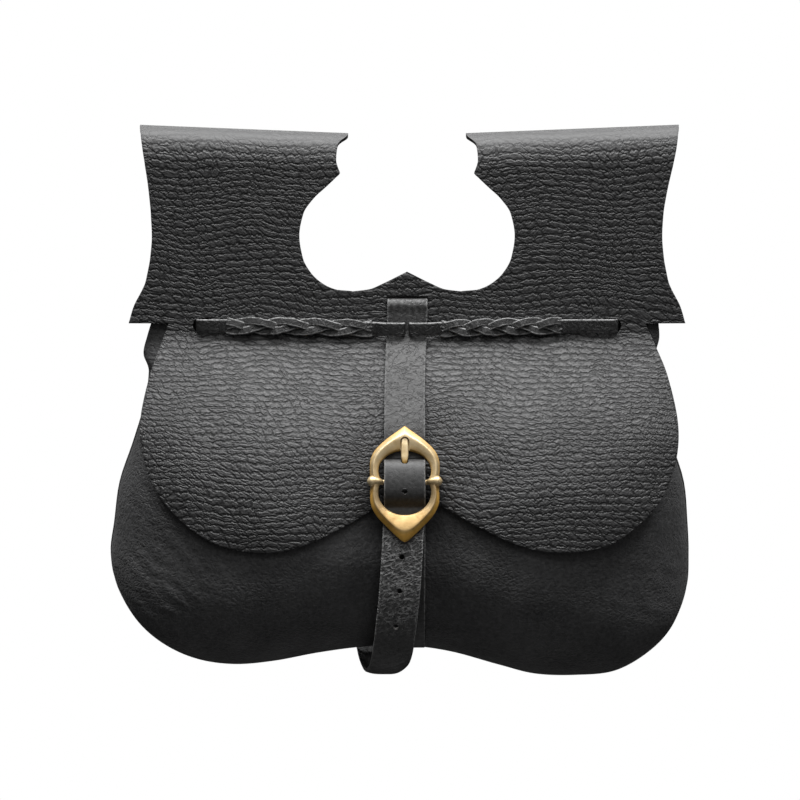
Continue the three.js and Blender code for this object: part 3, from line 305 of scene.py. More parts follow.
# Buckle: its middle, the tilt of its top towards the bag, and its sizes in its own plane
BUCKLE_MIDDLE = np.array([-1.2, -58.0, -122.9])
BUCKLE_TILT = math.radians(19)
FRAME_OUTER = table(
    "x u",
    (0, 27.9), (4.4, 24.7), (9.3, 21.0), (14.2, 16.2), (16.6, 11.4), (17.0, 6.0), (16.6, 0), (16.8, -6.0),
    (16.4, -11.3), (13.6, -16.9), (8.3, -22.6), (3.4, -27.4), (1.3, -29.1), (0, -29.6),
)
OPENING_HALF_WIDTH = 12.85
OPENING_SHIFT = 5.3
OPENING_TOP = 10.4
OPENING_BOTTOM = 11.4
# Section of the ring by share across it: height, tarnish with painted shade on the lower half's edges, and
# brown on the upper half's edges, partly painted shade where they turn from the light
FRAME_SECTION = table(
    "share height tarnished brown",
    (0.0, -1.6, 0.6, 0.9), (0.0, 0.7, 0.3, 0.8), (0.03, 1.1, 0.1, 0.6), (0.09, 1.45, 0.0, 0.35),
    (0.30, 2.0, 0.0, 0.0), (0.48, 2.4, 0.0, 0.0), (0.58, 2.5, 0.0, 0.0), (0.63, 2.42, 0.1, 0.0),
    (0.68, 2.1, 0.6, 0.0), (0.80, 1.2, 1.0, 0.15), (0.93, 0.15, 1.0, 0.5), (0.98, -0.3, 1.0, 0.7),
    (1.0, -0.7, 1.0, 0.8), (1.0, -1.3, 1.0, 0.8), (0.94, -1.6, 1.0, 0.8),
)
LOWER_HALF_FADE = (6.0, -10.0)
# Where the brass turns from the pale upper colour, a painted reflection, to the deeper golden lower one
GOLDEN_FADE = (4.0, -8.0)
LOW_FACE_FADE = (-10.0, -18.0)
# Painted shade on the low face of the frame, which dims the light it reflects
LOW_FACE_SHADE = 0.3
BAR_RADIUS = 1.3
BAR_N = -1.4
BAR_HALF_LENGTH = 14.0
BEAD = table(
    "x radius",
    (10.4, 0.2), (10.9, 0.8), (11.5, 1.25), (12.2, 1.65), (13.0, 2.0), (13.8, 2.3), (14.5, 2.55), (15.2, 2.7),
    (15.9, 2.75), (16.6, 2.6), (17.2, 2.2), (17.7, 1.6), (18.1, 0.9), (18.3, 0.15),
)
BEAD_N = 0.9
BEAD_SQUARENESS = 1.75
BAR_SQUARENESS = 2.0
RECESS_HALF_WIDTH = 2.25
RECESS_TOP = 21.9
RECESS_REACH = 5.0
PIN_WIDTH = 3.6
PIN_THICK = 1.6
PIN_N = 1.0
EYE_PATH_RADIUS = 2.27
PIN_CURL = (-150.0, 80.0)
PIN_EDGE = 0.55
PIN_NECK = 0.62
PIN_NECK_END = 1.0
PIN_TIP_THIN = 0.55
PIN_TIP_LEAST = 0.02
PIN_ROUTE = np.array([
    (2.0, 0.7), (3.5, 0.1), (5.5, -0.7), (7.2, -0.7), (8.6, 0.0), (10.0, 0.75), (11.6, PIN_N),
])

# Fineness of the surfaces: rows, columns, sides, steps and rounding
LOW_ROWS = 13
FRONT_ROWS = 86
ROLL_ROWS = 22
REAR_ROWS = 46
WING_COLUMNS = 50
CORNER_COLUMNS = 12
BRIDGE_COLUMNS = 20
FLAP_ROWS = 74
FINE_STEPS = 3000
WELD_DIGITS = 3
FRONT_WALL_GRID = (230, 120)
BACK_WALL_GRID = (120, 60)
PATH_CUTS = 24
EDGE_POINTS = 5
STRAP_STEP = 0.8
STRAP_COLUMNS = 30
STRAP_TURN_POINTS = 7
HOLDER_TURN_POINTS = 9
HOLE_SIDES = 20
SLOT_SIDES = 32
LACE_STEP = 0.45
LACE_COLUMNS = 9
LACE_TURN_POINTS = 4
LACE_RISE_POINTS = 7
LACE_FLAT_POINTS = 6
STRAND_COLUMNS = 7
FRAME_STATIONS = 120
BEAD_ROWS = 40
BEAD_SIDES = 28
BAR_SIDES = 16
PIN_STEP = 0.35
PIN_COLUMNS = 7
PIN_CURL_POINTS = 16
PIN_TIP_POINTS = 5
BEVEL_SEGMENTS = 2
BEVEL_ANGLE = math.radians(50)
EDGE_ANGLE = math.radians(42)
WAVE_LENGTH_SPREAD = 0.7

# Side of the given surface on which a leather wall gets its thickness
BOTH_WAYS = 0
INWARDS = -1

# Directions in the bag's frame
TO_RIGHT = np.array([1.0, 0.0, 0.0])
UPWARDS = np.array([0.0, 0.0, 1.0])
FRONTWARDS = np.array([0.0, -1.0, 0.0])

# Values of the finishes. A bend is the scale of a noise and how far it pushes. A noise is its scale and
# detail, and sometimes its roughness. A change of range is two limits and what they become. A shade is a
# value and its colour. Scales are per millimetre on flat patterns and per metre on places.
COVER_GRAIN = Values(
    sweep=(0.025, 19.0, 13.0), bend=(0.12, 2.4, 1.5), wobble=(0.35, 1.0, 0.7), fray=(0.9, 0.9, 0.9),
    row=3.5, shift=7.0, arches=((5.0, 0.22), (2.3, 0.12)), shoulder=0.7, foot=0.8, slope=0.5,
    gaps=(0.17, 1.0), gap_body=(0.5, 0.68, 0.0, 0.4),
    pebble_width=6.6, stagger=0.5, uneven=0.75, groove=(0.0, 0.18, 0.35, 1.0),
    bump_scale=(1 / 2.2, 1 / 1.7, 1), bump_form=(0.1, 0.8, 1.0, 0.0), pores=(1.05, 0.5),
    pebble_height=0.9, bump_height=0.12, pore_height=0.85, stretched_height=0.16, relief=0.46,
    pore_tone=0.4, stretched_tone=0.7, roughness=(0.2, 0.9, 0.64, 0.5), specular=0.42,
    # Shades by the grain's height: the darkest is painted shade in the creases, the paler ones are the pebble
    # tops
    shades=((0.25, (0.001, 0.001, 0.001)), (0.62, (0.0145, 0.0145, 0.015)), (1.0, (0.042, 0.042, 0.0425))),
)
POUCH_NAP = Values(
    clouds=(45.0, 3.0), fibre_bend=(0.2, 2.0), fibres=(0.5, 1.0), bend=(0.08, 6.0), fray=(0.5, 1.2),
    cell_scale=(1 / 2.6, 1 / 3.2, 1 / 1.9), cell_edge=0.25, uneven=1.0,
    patches=(26.0, 3.0), patched=(0.35, 0.65, 0.1, 0.8),
    slant_bend=(0.05, 9.0), hair_scale=(0.16, 0.1, 0.35), hair_width=0.012,
    steep_scale=(0.3, 0.2, 0.07), steep_width=0.02, steep_detail=2.0,
    fold_side=(-105.0, -120.0), fold_scale=(0.14, 0.14, 0.42), folds=(1.0, 2.0),
    fibre_height=2.0, hair_height=0.35, steep_height=0.35, fold_height=1.8, relief=0.26,
    cloud_tone=0.7, fibre_tone=0.8, net_tone=-0.12, roughness=(0.3, 0.7, 0.72, 0.6),
    specular=0.4, sheen=0.06, sheen_roughness=0.45,
    shades=((0.35, (0.015, 0.015, 0.0155)), (1.0, (0.052, 0.052, 0.053))),
)
STRAP_NAP = Values(
    drift=(0.12, 3.0), bend=(0.3, 2.4), fray=(0.9, 0.7), turn=0.65,
    gaps=(0.35, 1.0), broken=(0.35, 0.6, 0.15, 1.0),
    cell_scale=(1 / 4.6, 1 / 2.0, 1), cell_edge=0.24, lying_scale=(1 / 8.0, 1 / 3.4, 1), lying_width=0.06,
    slant_scale=(1 / 13.0, 1 / 5.0, 1), slant_width=0.03,
    level_scale=(1 / 8.0, 1 / 4.5, 1), level_width=0.025,
    nap=(0.55, 1.0), ridge_height=2.2, slant_height=0.35, level_height=0.2, nap_height=0.6,
    smooth_height=0.25, relief=0.4, fraying=(0.6, 2.0), frayed=(0.35, 0.6, 0.4, 1.0),
    # The ridge value paints the ridges pale as a painted highlight, and the crease value paints the creased
    # stretch lighter as painted light
    nap_tone=0.5, crease_tone=0.16, ridge_tone=0.95, roughness=(0.4, 1.3, 0.5, 0.75), specular=0.34,
    shade_stops=(0.15, 0.4, 1.0),
)
# Greys of the strap and of the darker lacing; the palest grey is reached on the painted highlights and
# painted light
STRAP_GREYS = (0.026, 0.048, 0.2)
LACE_GREYS = (0.01, 0.018, 0.24)
FLESH_FIBRES = Values(
    bend=(120.0, 0.004), fibres=(900.0, 4.0, 0.65), relief=0.5, roughness=(0.3, 0.7, 0.95, 0.8), specular=0.2,
    shades=((0.3, (0.012, 0.012, 0.012)), (0.75, (0.03, 0.029, 0.029))),
)
EDGE_FIBRES = Values(
    bend=None, fibres=(1400.0, 3.0, 0.6), relief=0.25, roughness=(0.3, 0.7, 0.6, 0.75), specular=0.5,
    shades=((0.3, (0.014, 0.014, 0.014)), (0.8, (0.04, 0.039, 0.038))),
)
# Walls of the punched holes: painted pale as a painted highlight for the lit lower wall, not the hide's own
# colour
LIT_HOLE_WALL_FIBRES = Values(
    bend=None, fibres=(1600.0, 2.0, 0.6), relief=0.15, roughness=(0.3, 0.7, 0.6, 0.75), specular=0.5,
    shades=((0.3, (0.2, 0.195, 0.19)), (0.8, (0.42, 0.41, 0.4))),
)
BRASS_CAST = Values(
    bend=(90.0, 0.01), bloom=(160.0, 4.0, 0.6), pits=(900.0, 2.0),
    bloom_height=0.7, pit_height=0.3, relief=0.18,
    # The pale tints of the upper half are a painted reflection of the bright surroundings; the deep tints
    # belong to the lower half
    pale=((0.3, (0.46, 0.33, 0.165)), (0.55, (0.64, 0.495, 0.285)), (0.8, (0.76, 0.62, 0.4))),
    deep=((0.3, (0.26, 0.175, 0.08)), (0.55, (0.37, 0.27, 0.145)), (0.8, (0.48, 0.37, 0.23))),
    brown=((0.3, (0.5, 0.27, 0.045)), (0.7, (0.88, 0.52, 0.11))),
    roughness=(0.3, 0.75, 0.42, 0.28), tarnish_roughness=0.3, metallic=0.42,
)
FLOOR_PAINT = Values(
    clouds=(3.0, 2.0), shades=((0.3, (0.8, 0.8, 0.8)), (0.7, (0.84, 0.84, 0.84))), roughness=0.8,
)
HALF = 0.5
BEND_DETAIL = 2.0
CELL_UNEVEN = 0.9

# Floor, lights and camera. The floor is in millimetres. Places, aims, sizes and distances of lights and
# camera are in metres, the power of lights is in watts, and the camera's lens and sensor are in millimetres.
FLOOR_Z = -2200.0
FLOOR_RADIUS = 1000.0
FLOOR_INNER_SHARE = 0.02
FLOOR_DISH = 12.0
FLOOR_DISH_POWER = 4
FLOOR_RINGS = 24
FLOOR_SIDES = 72
LIGHTS = {
    "overhead": {"place": (0.0, -0.10, 1.0), "aim": (0.0, -0.05, -0.1), "size": (1.4, 0.5), "power": 36.0},
    "back_top": {"place": (0.0, 0.9, 1.0), "aim": (0.0, 0.0, 0.0), "size": (1.4, 0.5), "power": 9.0},
    "high_front": {"place": (0.0, -0.80, 0.95), "aim": (0.0, -0.03, -0.1), "size": (1.2, 0.4), "power": 6.2},
    "back_fill": {"place": (0.0, 1.9, 0.3), "aim": (0.0, 0.0, -0.1), "size": (1.4, 0.8), "power": 6.0},
    "front_fill": {"place": (0.0, -1.8, 0.9), "aim": (0.0, 0.0, -0.1), "size": (1.4, 0.8), "power": 2.8},
    "low_card": {"place": (0.0, -1.6, -0.5), "aim": (0.0, 0.0, -0.15), "size": (1.0, 0.6), "power": 1.1},
    "left_side": {"place": (-1.2, -0.5, 0.2), "aim": (0.0, 0.0, -0.1), "size": (0.5, 1.0), "power": 0.15},
    "right_side": {"place": (1.2, -0.5, 0.2), "aim": (0.0, 0.0, -0.1), "size": (0.5, 1.0), "power": 1.1},
}
AMBIENT = 0.03
BACKGROUND = 1.0
WHITE = (1, 1, 1, 1)
CAMERA_TARGET = np.array([-0.0035, -0.010, -0.088])
CAMERA_ELEVATION = math.radians(6)
CAMERA_DISTANCE = 1.6
CAMERA_LENS = 144.0
CAMERA_SENSOR = 36.0


# Small tools for shapes

def along(rows, key, column, at):
    """Cubic through a table's rows that never overshoots them: each row's slope is the harmonic mean of the
    rises beside it, or nothing where they differ in sign."""
    keys, values = rows[key], rows[column]
    at = np.clip(at, keys[0], keys[-1])
    rise = np.diff(values) / np.diff(keys)
    both = rise[:-1] * rise[1:]
    total = rise[:-1] + rise[1:]
    inner = np.where(both > 0, 2 * both / np.where(total == 0, 1, total), 0)
    slope = np.concatenate([rise[:1], inner, rise[-1:]])
    low = np.clip(np.searchsorted(keys, at, side="right") - 1, 0, len(keys) - 2)
    span = keys[low + 1] - keys[low]
    t = (at - keys[low]) / span
    start = values[low] * (1 + 2 * t) * (1 - t) ** 2 + slope[low] * span * t * (1 - t) ** 2
    end = values[low + 1] * t * t * (3 - 2 * t) + slope[low + 1] * span * t * t * (t - 1)
    return start + end


def ramp(start, end, at):
    """Smooth step from 0 at start to 1 at end."""
    share = np.clip((at - start) / (end - start), 0, 1)
    return share * share * (3 - 2 * share)


def cubic(here, there, leave, arrive, t):
    """Cubic from here to there, with the slopes at which it leaves and arrives; t runs from 0 to 1."""
    bend = (2 * here - 2 * there + leave + arrive) * t + (3 * there - 3 * here - 2 * leave - arrive)
    return bend * t * t + leave * t + here


def flowing(points, at):
    """Smooth curve through rows of points; at counts in rows. Each row's slope is half the step between its
    neighbours."""
    last = len(points) - 1
    low = np.clip(np.floor(at).astype(int), 0, last - 1)
    t = (at - low)[..., None]
    before, here = points[np.maximum(low - 1, 0)], points[low]
    there, after = points[low + 1], points[np.minimum(low + 2, last)]
    return cubic(here, there, (there - before) / 2, (after - here) / 2, t)


def strap_path(points, spacing):
    """Curve through points whose slopes take account of the square roots of the distances between them,
    cut into equal steps of about the spacing. Returns its points and their distances along it."""
    points = np.asarray(points, dtype=float)
    wide = np.concatenate([[2 * points[0] - points[1]], points, [2 * points[-1] - points[-2]]])
    root = np.sqrt(np.linalg.norm(np.diff(wide, axis=0), axis=1))[:, None]
    before, here, there, after = wide[:-3], wide[1:-2], wide[2:-1], wide[3:]
    last, span, onward = root[:-2], root[1:-1], root[2:]
    leave = ((here - before) / last - (there - before) / (last + span) + (there - here) / span) * span
    arrive = ((there - here) / span - (after - here) / (span + onward) + (after - there) / onward) * span
    t = np.linspace(0, 1, PATH_CUTS, endpoint=False)[None, :, None]
    dense = cubic(here[:, None], there[:, None], leave[:, None], arrive[:, None], t)
    dense = np.concatenate([dense.reshape(-1, 3), points[-1:]])
    length = np.concatenate([[0], np.cumsum(np.linalg.norm(np.diff(dense, axis=0), axis=1))])
    at = np.linspace(0, length[-1], int(length[-1] / spacing) + 1)
    return np.stack([np.interp(at, length, dense[:, k]) for k in range(3)], axis=1), at


def ripples(u, v, seed, count, length, heading, spread):
    """Sum of sine waves over u and v with seeded phases. Their lengths lie about one length and their
    directions about one heading, within the spread. Most values lie between -1 and 1."""
    draw = np.random.default_rng(seed)
    turn = heading + draw.uniform(-spread, spread, count)
    wave = 2 * np.pi / (length * 2 ** draw.uniform(-WAVE_LENGTH_SPREAD, WAVE_LENGTH_SPREAD, count))
    phase = draw.uniform(0, 2 * np.pi, count)
    total = np.sin(wave * (u[..., None] * np.cos(turn) + v[..., None] * np.sin(turn)) + phase)
    return total.sum(axis=-1) / math.sqrt(count)


def unit(vectors):
    """Vectors of length one."""
    return vectors / np.linalg.norm(vectors, axis=-1, keepdims=True)


def grid_faces(rows, columns, round_rows=False, round_columns=False):
    """Four-cornered faces of a grid of points, closed into a ring where asked."""
    row = np.arange(rows if round_rows else rows - 1)[:, None]
    column = np.arange(columns if round_columns else columns - 1)[None, :]
    next_row, next_column = (row + 1) % rows, (column + 1) % columns
    corners = [row * columns + column, row * columns + next_column, next_row * columns + next_column,
               next_row * columns + column]
    return np.stack([np.broadcast_to(corner, corners[0].shape).ravel() for corner in corners], axis=1)


def new_mesh(name, points, faces, pattern=None, marks=None):
    """Mesh from points in millimetres, with the flat pattern as its UV map and named values per point."""
    mesh = bpy.data.meshes.new(name)
    mesh.from_pydata((points * MM).tolist(), [], [list(face) for face in faces])
    corner = np.empty(len(mesh.loops), dtype=np.int32)
    mesh.loops.foreach_get("vertex_index", corner)
    if pattern is not None:
        layer = mesh.uv_layers.new(name="pattern")
        layer.uv.foreach_set("vector", pattern[corner].astype(np.float32).ravel())
    for mark, values in (marks or {}).items():
        attribute = mesh.attributes.new(mark, "FLOAT", "POINT")
        attribute.data.foreach_set("value", np.asarray(values, dtype=np.float32))
    mesh.shade_smooth()
    return mesh


def new_piece(name, points, faces, pattern=None, marks=None):
    """Object at the origin with its place in its mesh."""
    piece = bpy.data.objects.new(name, new_mesh(name, points, faces, pattern, marks))
    bpy.context.scene.collection.objects.link(piece)
    return piece


def settle(piece):
    """Works the modifiers of a piece into its mesh."""
    graph = bpy.context.evaluated_depsgraph_get()
    made = bpy.data.meshes.new_from_object(piece.evaluated_get(graph), preserve_all_data_layers=True,
                                           depsgraph=graph)
    old = piece.data
    piece.modifiers.clear()
    piece.data = made
    made.name = piece.name
    bpy.data.meshes.remove(old)


def crisp(piece):
    """Smooth shading that keeps edges sharper than the edge angle."""
    piece.data.shade_smooth()
    piece.data.set_sharp_from_angle(angle=EDGE_ANGLE)


def leather_wall(piece, outside, thick, offset, edge):
    """Gives a sheet its thickness and rounds its cut edges. The outside has a finish of its own, the inside
    and the edges are those of the hide."""
    for material in (outside, FLESH, CUT_EDGE):
        piece.data.materials.append(material)
    wall = piece.modifiers.new("thickness", "SOLIDIFY")
    wall.thickness = thick * MM
    wall.offset = offset
    wall.use_even_offset = True
    wall.use_quality_normals = True
    wall.material_offset = 1
    wall.material_offset_rim = 2
    rounding = piece.modifiers.new("rounded edges", "BEVEL")
    rounding.width = edge * MM
    rounding.segments = BEVEL_SEGMENTS
    rounding.limit_method = "ANGLE"
    rounding.angle_limit = BEVEL_ANGLE
    settle(piece)


def listed(faces):
    """Faces as plain rows of whole numbers."""
    return [tuple(int(k) for k in face) for face in faces]


def box_cutter(low, high):
    """Points and faces of a box between two corners."""
    share = np.array([(i, j, k) for i in (0, 1) for j in (0, 1) for k in (0, 1)], dtype=float)
    faces = [(0, 1, 3, 2), (4, 6, 7, 5), (0, 4, 5, 1), (2, 3, 7, 6), (0, 2, 6, 4), (1, 5, 7, 3)]
    return np.asarray(low) + share * (np.asarray(high) - np.asarray(low)), faces


def pin_cutter(outline, middle, across, up, through, reach):
    """Points and faces of a straight cutter: a flat outline carried both ways along a direction."""
    flat = middle + outline[:, :1] * across + outline[:, 1:] * up
    count = len(outline)
    points = np.concatenate([flat - reach * through, flat + reach * through])
    sides = listed(grid_faces(2, count, round_columns=True))
    return points, sides + [tuple(range(count))[::-1], tuple(range(count, 2 * count))]


def outward(points, faces):
    """Faces turned so that a shell has its outside out: the volume that its four-cornered faces span with the
    middle of the shell is positive."""
    corner = points[np.array([face for face in faces if len(face) == 4])] - points.mean(axis=0)
    first = np.einsum("ij,ij->i", corner[:, 0], np.cross(corner[:, 1], corner[:, 2]))
    second = np.einsum("ij,ij->i", corner[:, 0], np.cross(corner[:, 2], corner[:, 3]))
    return faces if (first + second).sum() > 0 else [tuple(face[::-1]) for face in faces]


def joined(shells):
    """Points and faces of several closed shells, each turned outside out."""
    points, faces, start = [], [], 0
    for shell_points, shell_faces in shells:
        faces += [tuple(start + k for k in face) for face in outward(shell_points, listed(shell_faces))]
        points.append(shell_points)
        start += len(shell_points)
    return np.concatenate(points), faces


def cut_out(piece, cutters, wall_finish=None):
    """Takes closed cutters out of a piece. The cut walls take the given wall finish, if there is one."""
    cutter = new_piece("cutter", *joined(cutters))
    slot = piece.modifiers.new("slots", "BOOLEAN")
    slot.operation = "DIFFERENCE"
    slot.solver = "EXACT"
    slot.object = cutter
    if wall_finish:
        cutter.data.materials.append(wall_finish)
        slot.material_mode = "TRANSFER"
    settle(piece)
    spare = cutter.data
    bpy.data.objects.remove(cutter)
    bpy.data.meshes.remove(spare)


def carried(path, across, profile):
    """Closed profile carried along a path. Its first coordinate runs along the width direction, its second
    along the normal, which is tangent times width. Returns points, faces with both ends closed."""
    tangent = unit(np.gradient(path, axis=0))
    across = np.broadcast_to(across, path.shape)
    normal = unit(np.cross(tangent, across))
    profile = np.broadcast_to(profile, (len(path),) + profile.shape[-2:])
    points = path[:, None] + profile[..., :1] * across[:, None] + profile[..., 1:] * normal[:, None]
    rows, columns = points.shape[:2]
    faces = grid_faces(rows, columns, round_columns=True)[:, ::-1]
    ends = [tuple(range(columns)), tuple(range((rows - 1) * columns, rows * columns))[::-1]]
    return points.reshape(-1, 3), listed(faces) + ends


def strip_profile(half_width, half_thick, edge, columns):
    """Cross-section of a strip: flat front and back joined by edges rounded to half ellipses."""
    flat = np.linspace(-1, 1, columns) * (half_width - edge)
    turn = np.linspace(np.pi / 2, -np.pi / 2, EDGE_POINTS + 2)[1:-1]
    right = np.stack([half_width - edge + edge * np.cos(turn), half_thick * np.sin(turn)], axis=1)
    front = np.stack([flat, np.full(columns, half_thick)], axis=1)
    return np.concatenate([front, right, -front, -right])


def strip_edge_mark(profile, half_width, reach):
    """1 on the cut edges of a strip and 0 on its faces, from a reach beside the edges."""
    return ramp(half_width - reach, half_width - reach / 4, np.abs(profile[:, 0]))


# Cover: belt panel and flap in one sheet

def cover_dip(x, z):
    """Dip along the centre line: a bell curve across, its depth from the front profile."""
    return along(FRONT_PROFILE, "z", "dip", z) * np.exp(-((x / DIP_WIDTH) ** 2))


def cover_fall(x, z):
    """Fall towards the sides: it grows with the cube of the distance from the middle."""
    return along(FRONT_PROFILE, "z", "fall", z) * (np.abs(x) / WRAP_REACH) ** 3


def cover_depth(x, z):
    """Depth of the middle of the front leaf in front of the belt line."""
    return along(FRONT_PROFILE, "z", "depth", z) - cover_dip(x, z) - cover_fall(x, z)


def rear_leaf_y(x, z):
    """Depth of the middle of a rear leaf behind the belt line."""
    return along(REAR_PROFILE, "z", "y", z) + cover_fall(x, ROLL_Z)


def cover_point(x, run):
    """Middle of the cover at x and at a run along the leather: the front leaf up to the roll, then a half
    circle, then the rear leaf downwards. The outer ends of the rolls stand a little higher."""
    lift = ROLL_LIFT * (np.abs(x) - ROLL_MIDDLE) / ROLL_HALF_LENGTH
    angle = np.clip((run - ROLL_Z) / ROLL_RADIUS, 0, np.pi)
    rear = ROLL_Z - (run - REAR_TOP)
    on_front, on_roll = run <= ROLL_Z, run <= REAR_TOP
    y = np.where(on_front, -cover_depth(x, run),
                 np.where(on_roll, cover_fall(x, ROLL_Z) - ROLL_RADIUS * np.cos(angle), rear_leaf_y(x, rear)))
    z = np.where(on_front, run, np.where(on_roll, ROLL_Z + ROLL_RADIUS * np.sin(angle), rear))
    raised = np.where(on_front, ramp(0, ROLL_Z, run), np.where(on_roll, 1, ramp(0, ROLL_Z, rear)))
    return np.stack([x, y, z + lift * raised], axis=-1)


def wing_runs():
    """Runs of the rows of a wing: even below the keyhole, then in equal steps along the keyhole's edge, then
    even over the roll and down the rear leaf."""
    low = np.linspace(PANEL_BOTTOM, KEYHOLE_BOTTOM, LOW_ROWS)
    fine = np.linspace(KEYHOLE_BOTTOM, ROLL_Z, FINE_STEPS)
    edge = along(WING_EDGE, "run", "inner", fine)
    length = np.concatenate([[0], np.cumsum(np.hypot(np.diff(edge), np.diff(fine)))])
    front = np.interp(np.linspace(0, length[-1], FRONT_ROWS), length, fine)
    roll = np.linspace(ROLL_Z, REAR_TOP, ROLL_ROWS)
    rear = np.linspace(REAR_TOP, REAR_BOTTOM, REAR_ROWS)
    return np.concatenate([low[:-1], front[:-1], roll[:-1], rear])


def blended(top, bottom, inner, outer):
    """Grid between four edges: the two pairs are blended and the corners taken out once."""
    u = np.linspace(0, 1, len(top))[None, :, None]
    v = np.linspace(0, 1, len(inner))[:, None, None]
    across = (1 - u) * inner[:, None] + u * outer[:, None]
    down = (1 - v) * top[None] + v * bottom[None]
    corners = (1 - v) * ((1 - u) * top[0] + u * top[-1]) + v * ((1 - u) * bottom[0] + u * bottom[-1])
    return across + down - corners


def cover_patches(side, name):
    """Flat pattern of one half of the cover as grids: wing, bridge under the keyhole, half of the flap."""
    runs = wing_runs()
    inner = along(WING_EDGE, "run", "inner", runs)
    outer = along(WING_EDGE, "run", "outer", runs) + side * WING_LEAN * ramp(0, ROLL_Z, runs)
    notch = (NOTCH_X - inner[0]) / (outer[0] - inner[0])
    share = np.concatenate([np.linspace(0, notch, WING_COLUMNS), np.linspace(notch, 1, CORNER_COLUMNS)[1:]])
    x = inner[:, None] + (outer - inner)[:, None] * share
    wing = np.stack([side * x, np.broadcast_to(runs[:, None], x.shape)], axis=-1)

    bridge_x = np.linspace(0, BRIDGE_END, BRIDGE_COLUMNS)
    up = np.linspace(0, 1, LOW_ROWS)[:, None]
    height = PANEL_BOTTOM + up * (along(BRIDGE_EDGE, "x", "z", bridge_x) - PANEL_BOTTOM)
    bridge = np.stack([np.broadcast_to(side * bridge_x, height.shape), height], axis=-1)

    edge = np.stack([FLAP_EDGE[f"{name}_x"], FLAP_EDGE[f"{name}_z"]], axis=1)
    top = np.concatenate([bridge[0, :-1], wing[0, :WING_COLUMNS]])
    bottom = flowing(edge, np.linspace(FLAP_CUSP, FLAP_CORNER, len(top)))
    outer_edge = flowing(edge, np.linspace(0, FLAP_CORNER, FLAP_ROWS))
    middle = np.linspace(top[0], edge[-1], FLAP_ROWS)
    return [wing, bridge, blended(top, bottom, middle, outer_edge)]


def welded(patches):
    """One net from patches that share edges: equal places become one, and all faces turn the same way."""
    starts = np.cumsum([0] + [patch.shape[0] * patch.shape[1] for patch in patches])
    places = np.concatenate([patch.reshape(-1, 2) for patch in patches])
    faces = np.concatenate([grid_faces(*patch.shape[:2]) + start for patch, start in zip(patches, starts)])
    _, first, same = np.unique(np.round(places, WELD_DIGITS), axis=0, return_index=True, return_inverse=True)
    faces = same.reshape(-1)[faces]
    places = places[first]
    ring = places[faces]
    after = np.roll(ring, -1, axis=1)
    turn = (ring[..., 0] * after[..., 1] - ring[..., 1] * after[..., 0]).sum(axis=1)
    return places, np.where((turn < 0)[:, None], faces[:, ::-1], faces)


def leather_length(run):
    """Run with the slope of the flap taken into account, so that the grain keeps its size on it."""
    heights = np.linspace(GRAIN_LOW, ROLL_Z, FINE_STEPS)
    steps = np.hypot(np.diff(heights), np.diff(cover_depth(np.full(FINE_STEPS, GRAIN_LINE_X), heights)))
    length = np.concatenate([[0], np.cumsum(steps)])
    return np.where(run < ROLL_Z, np.interp(run, heights, length - length[-1] + ROLL_Z), run)


def close_slit(x, z, front, back):
    """Cutter for a slit that closes on the lacing inside it."""
    half, high = LACE_HALF - CLOSE_FIT, LACE_WIDTH / 2 - CLOSE_FIT
    return box_cutter((x - half, front, z - high), (x + half, back, z + high))


def lacing_cutters():
    """Cutters for the lacing slots, which gape at their outer ends in the front leaf, and for the slits."""
    half_length = (SLOT_OUTER + SLOT_OPEN - SLOT_INNER + SLOT_HEIGHT) / 2
    outline = slot_outline(SLOT_HEIGHT, 2 * half_length, SLOT_SIDES)
    middle_x = SLOT_OUTER + SLOT_OPEN - half_length
    middle_y = (SLOT_FRONT_BACK + SLIT_FRONT) / 2
    reach = (SLOT_FRONT_BACK - SLIT_FRONT) / 2
    slots = []
    for side in (-1, 1):
        middle = np.array([side * middle_x, middle_y, LACE_Z])
        slots.append(pin_cutter(outline, middle, UPWARDS, TO_RIGHT, FRONTWARDS, reach))
    return slots + rear_slits()


def rear_slits():
    """Cutters for the lacing slots behind the front leaf, and for the middle slits."""
    outer = [close_slit(side * LACE_SLOT_X, LACE_Z, SLOT_FRONT_BACK, SLIT_LEAF_BACK) for side in (-1, 1)]
    return outer + middle_slits()


def middle_slits():
    """Cutters for the two slits in the middle, which sit lower because the lacings hang down there."""
    slit_z = LACE_Z - LACE_SAG
    return [close_slit(side * LACE_MIDDLE_X, slit_z, SLIT_FRONT, SLIT_MIDDLE_BACK) for side in (-1, 1)]


def make_cover():
    """The cover: its flat net bent over the pouch, with a slight unevenness, its thickness and its slots."""
    places, faces = welded(cover_patches(-1, "left") + cover_patches(1, "right"))
    x, run = places[:, 0], places[:, 1]
    points = cover_point(x, run)
    on_flap = ramp(*FLAP_SWELL_FADE, run)
    points[:, 1] += FLAP_SWELL * on_flap * ripples(x, run, **FLAP_WAVES)
    points[:, 1] += ROLL_LEAN * ramp(LEAN_FROM, LEAN_FULL, run) * (1 - ramp(LEAN_FULL, REAR_TOP, run))
    pattern = np.stack([x, leather_length(run)], axis=1)
    stretched = ramp(*STRETCH_IN, run) * (1 - ramp(*STRETCH_OUT, run))
    piece = new_piece("cover_leather", points, faces, pattern, {"stretched": stretched})
    leather_wall(piece, GRAIN, COVER_THICK, BOTH_WAYS, COVER_EDGE)
    strap_low = STRAP_SLOT_Z + STRAP_SLOT_LIFT - STRAP_SLOT_HEIGHT / 2
    strap_slot = box_cutter(
        (STRAP_TOP_X - STRAP_SLOT_WIDTH / 2, SLIT_FRONT, strap_low),
        (STRAP_TOP_X + STRAP_SLOT_WIDTH / 2, SLIT_PANEL_BACK, strap_low + STRAP_SLOT_HEIGHT))
    cut_out(piece, lacing_cutters() + [strap_slot])
    return piece


# Pouch

def seam_at(row):
    """Point of the seam by row of its table."""
    return flowing(SEAM_POINTS, np.asarray(row, dtype=float))


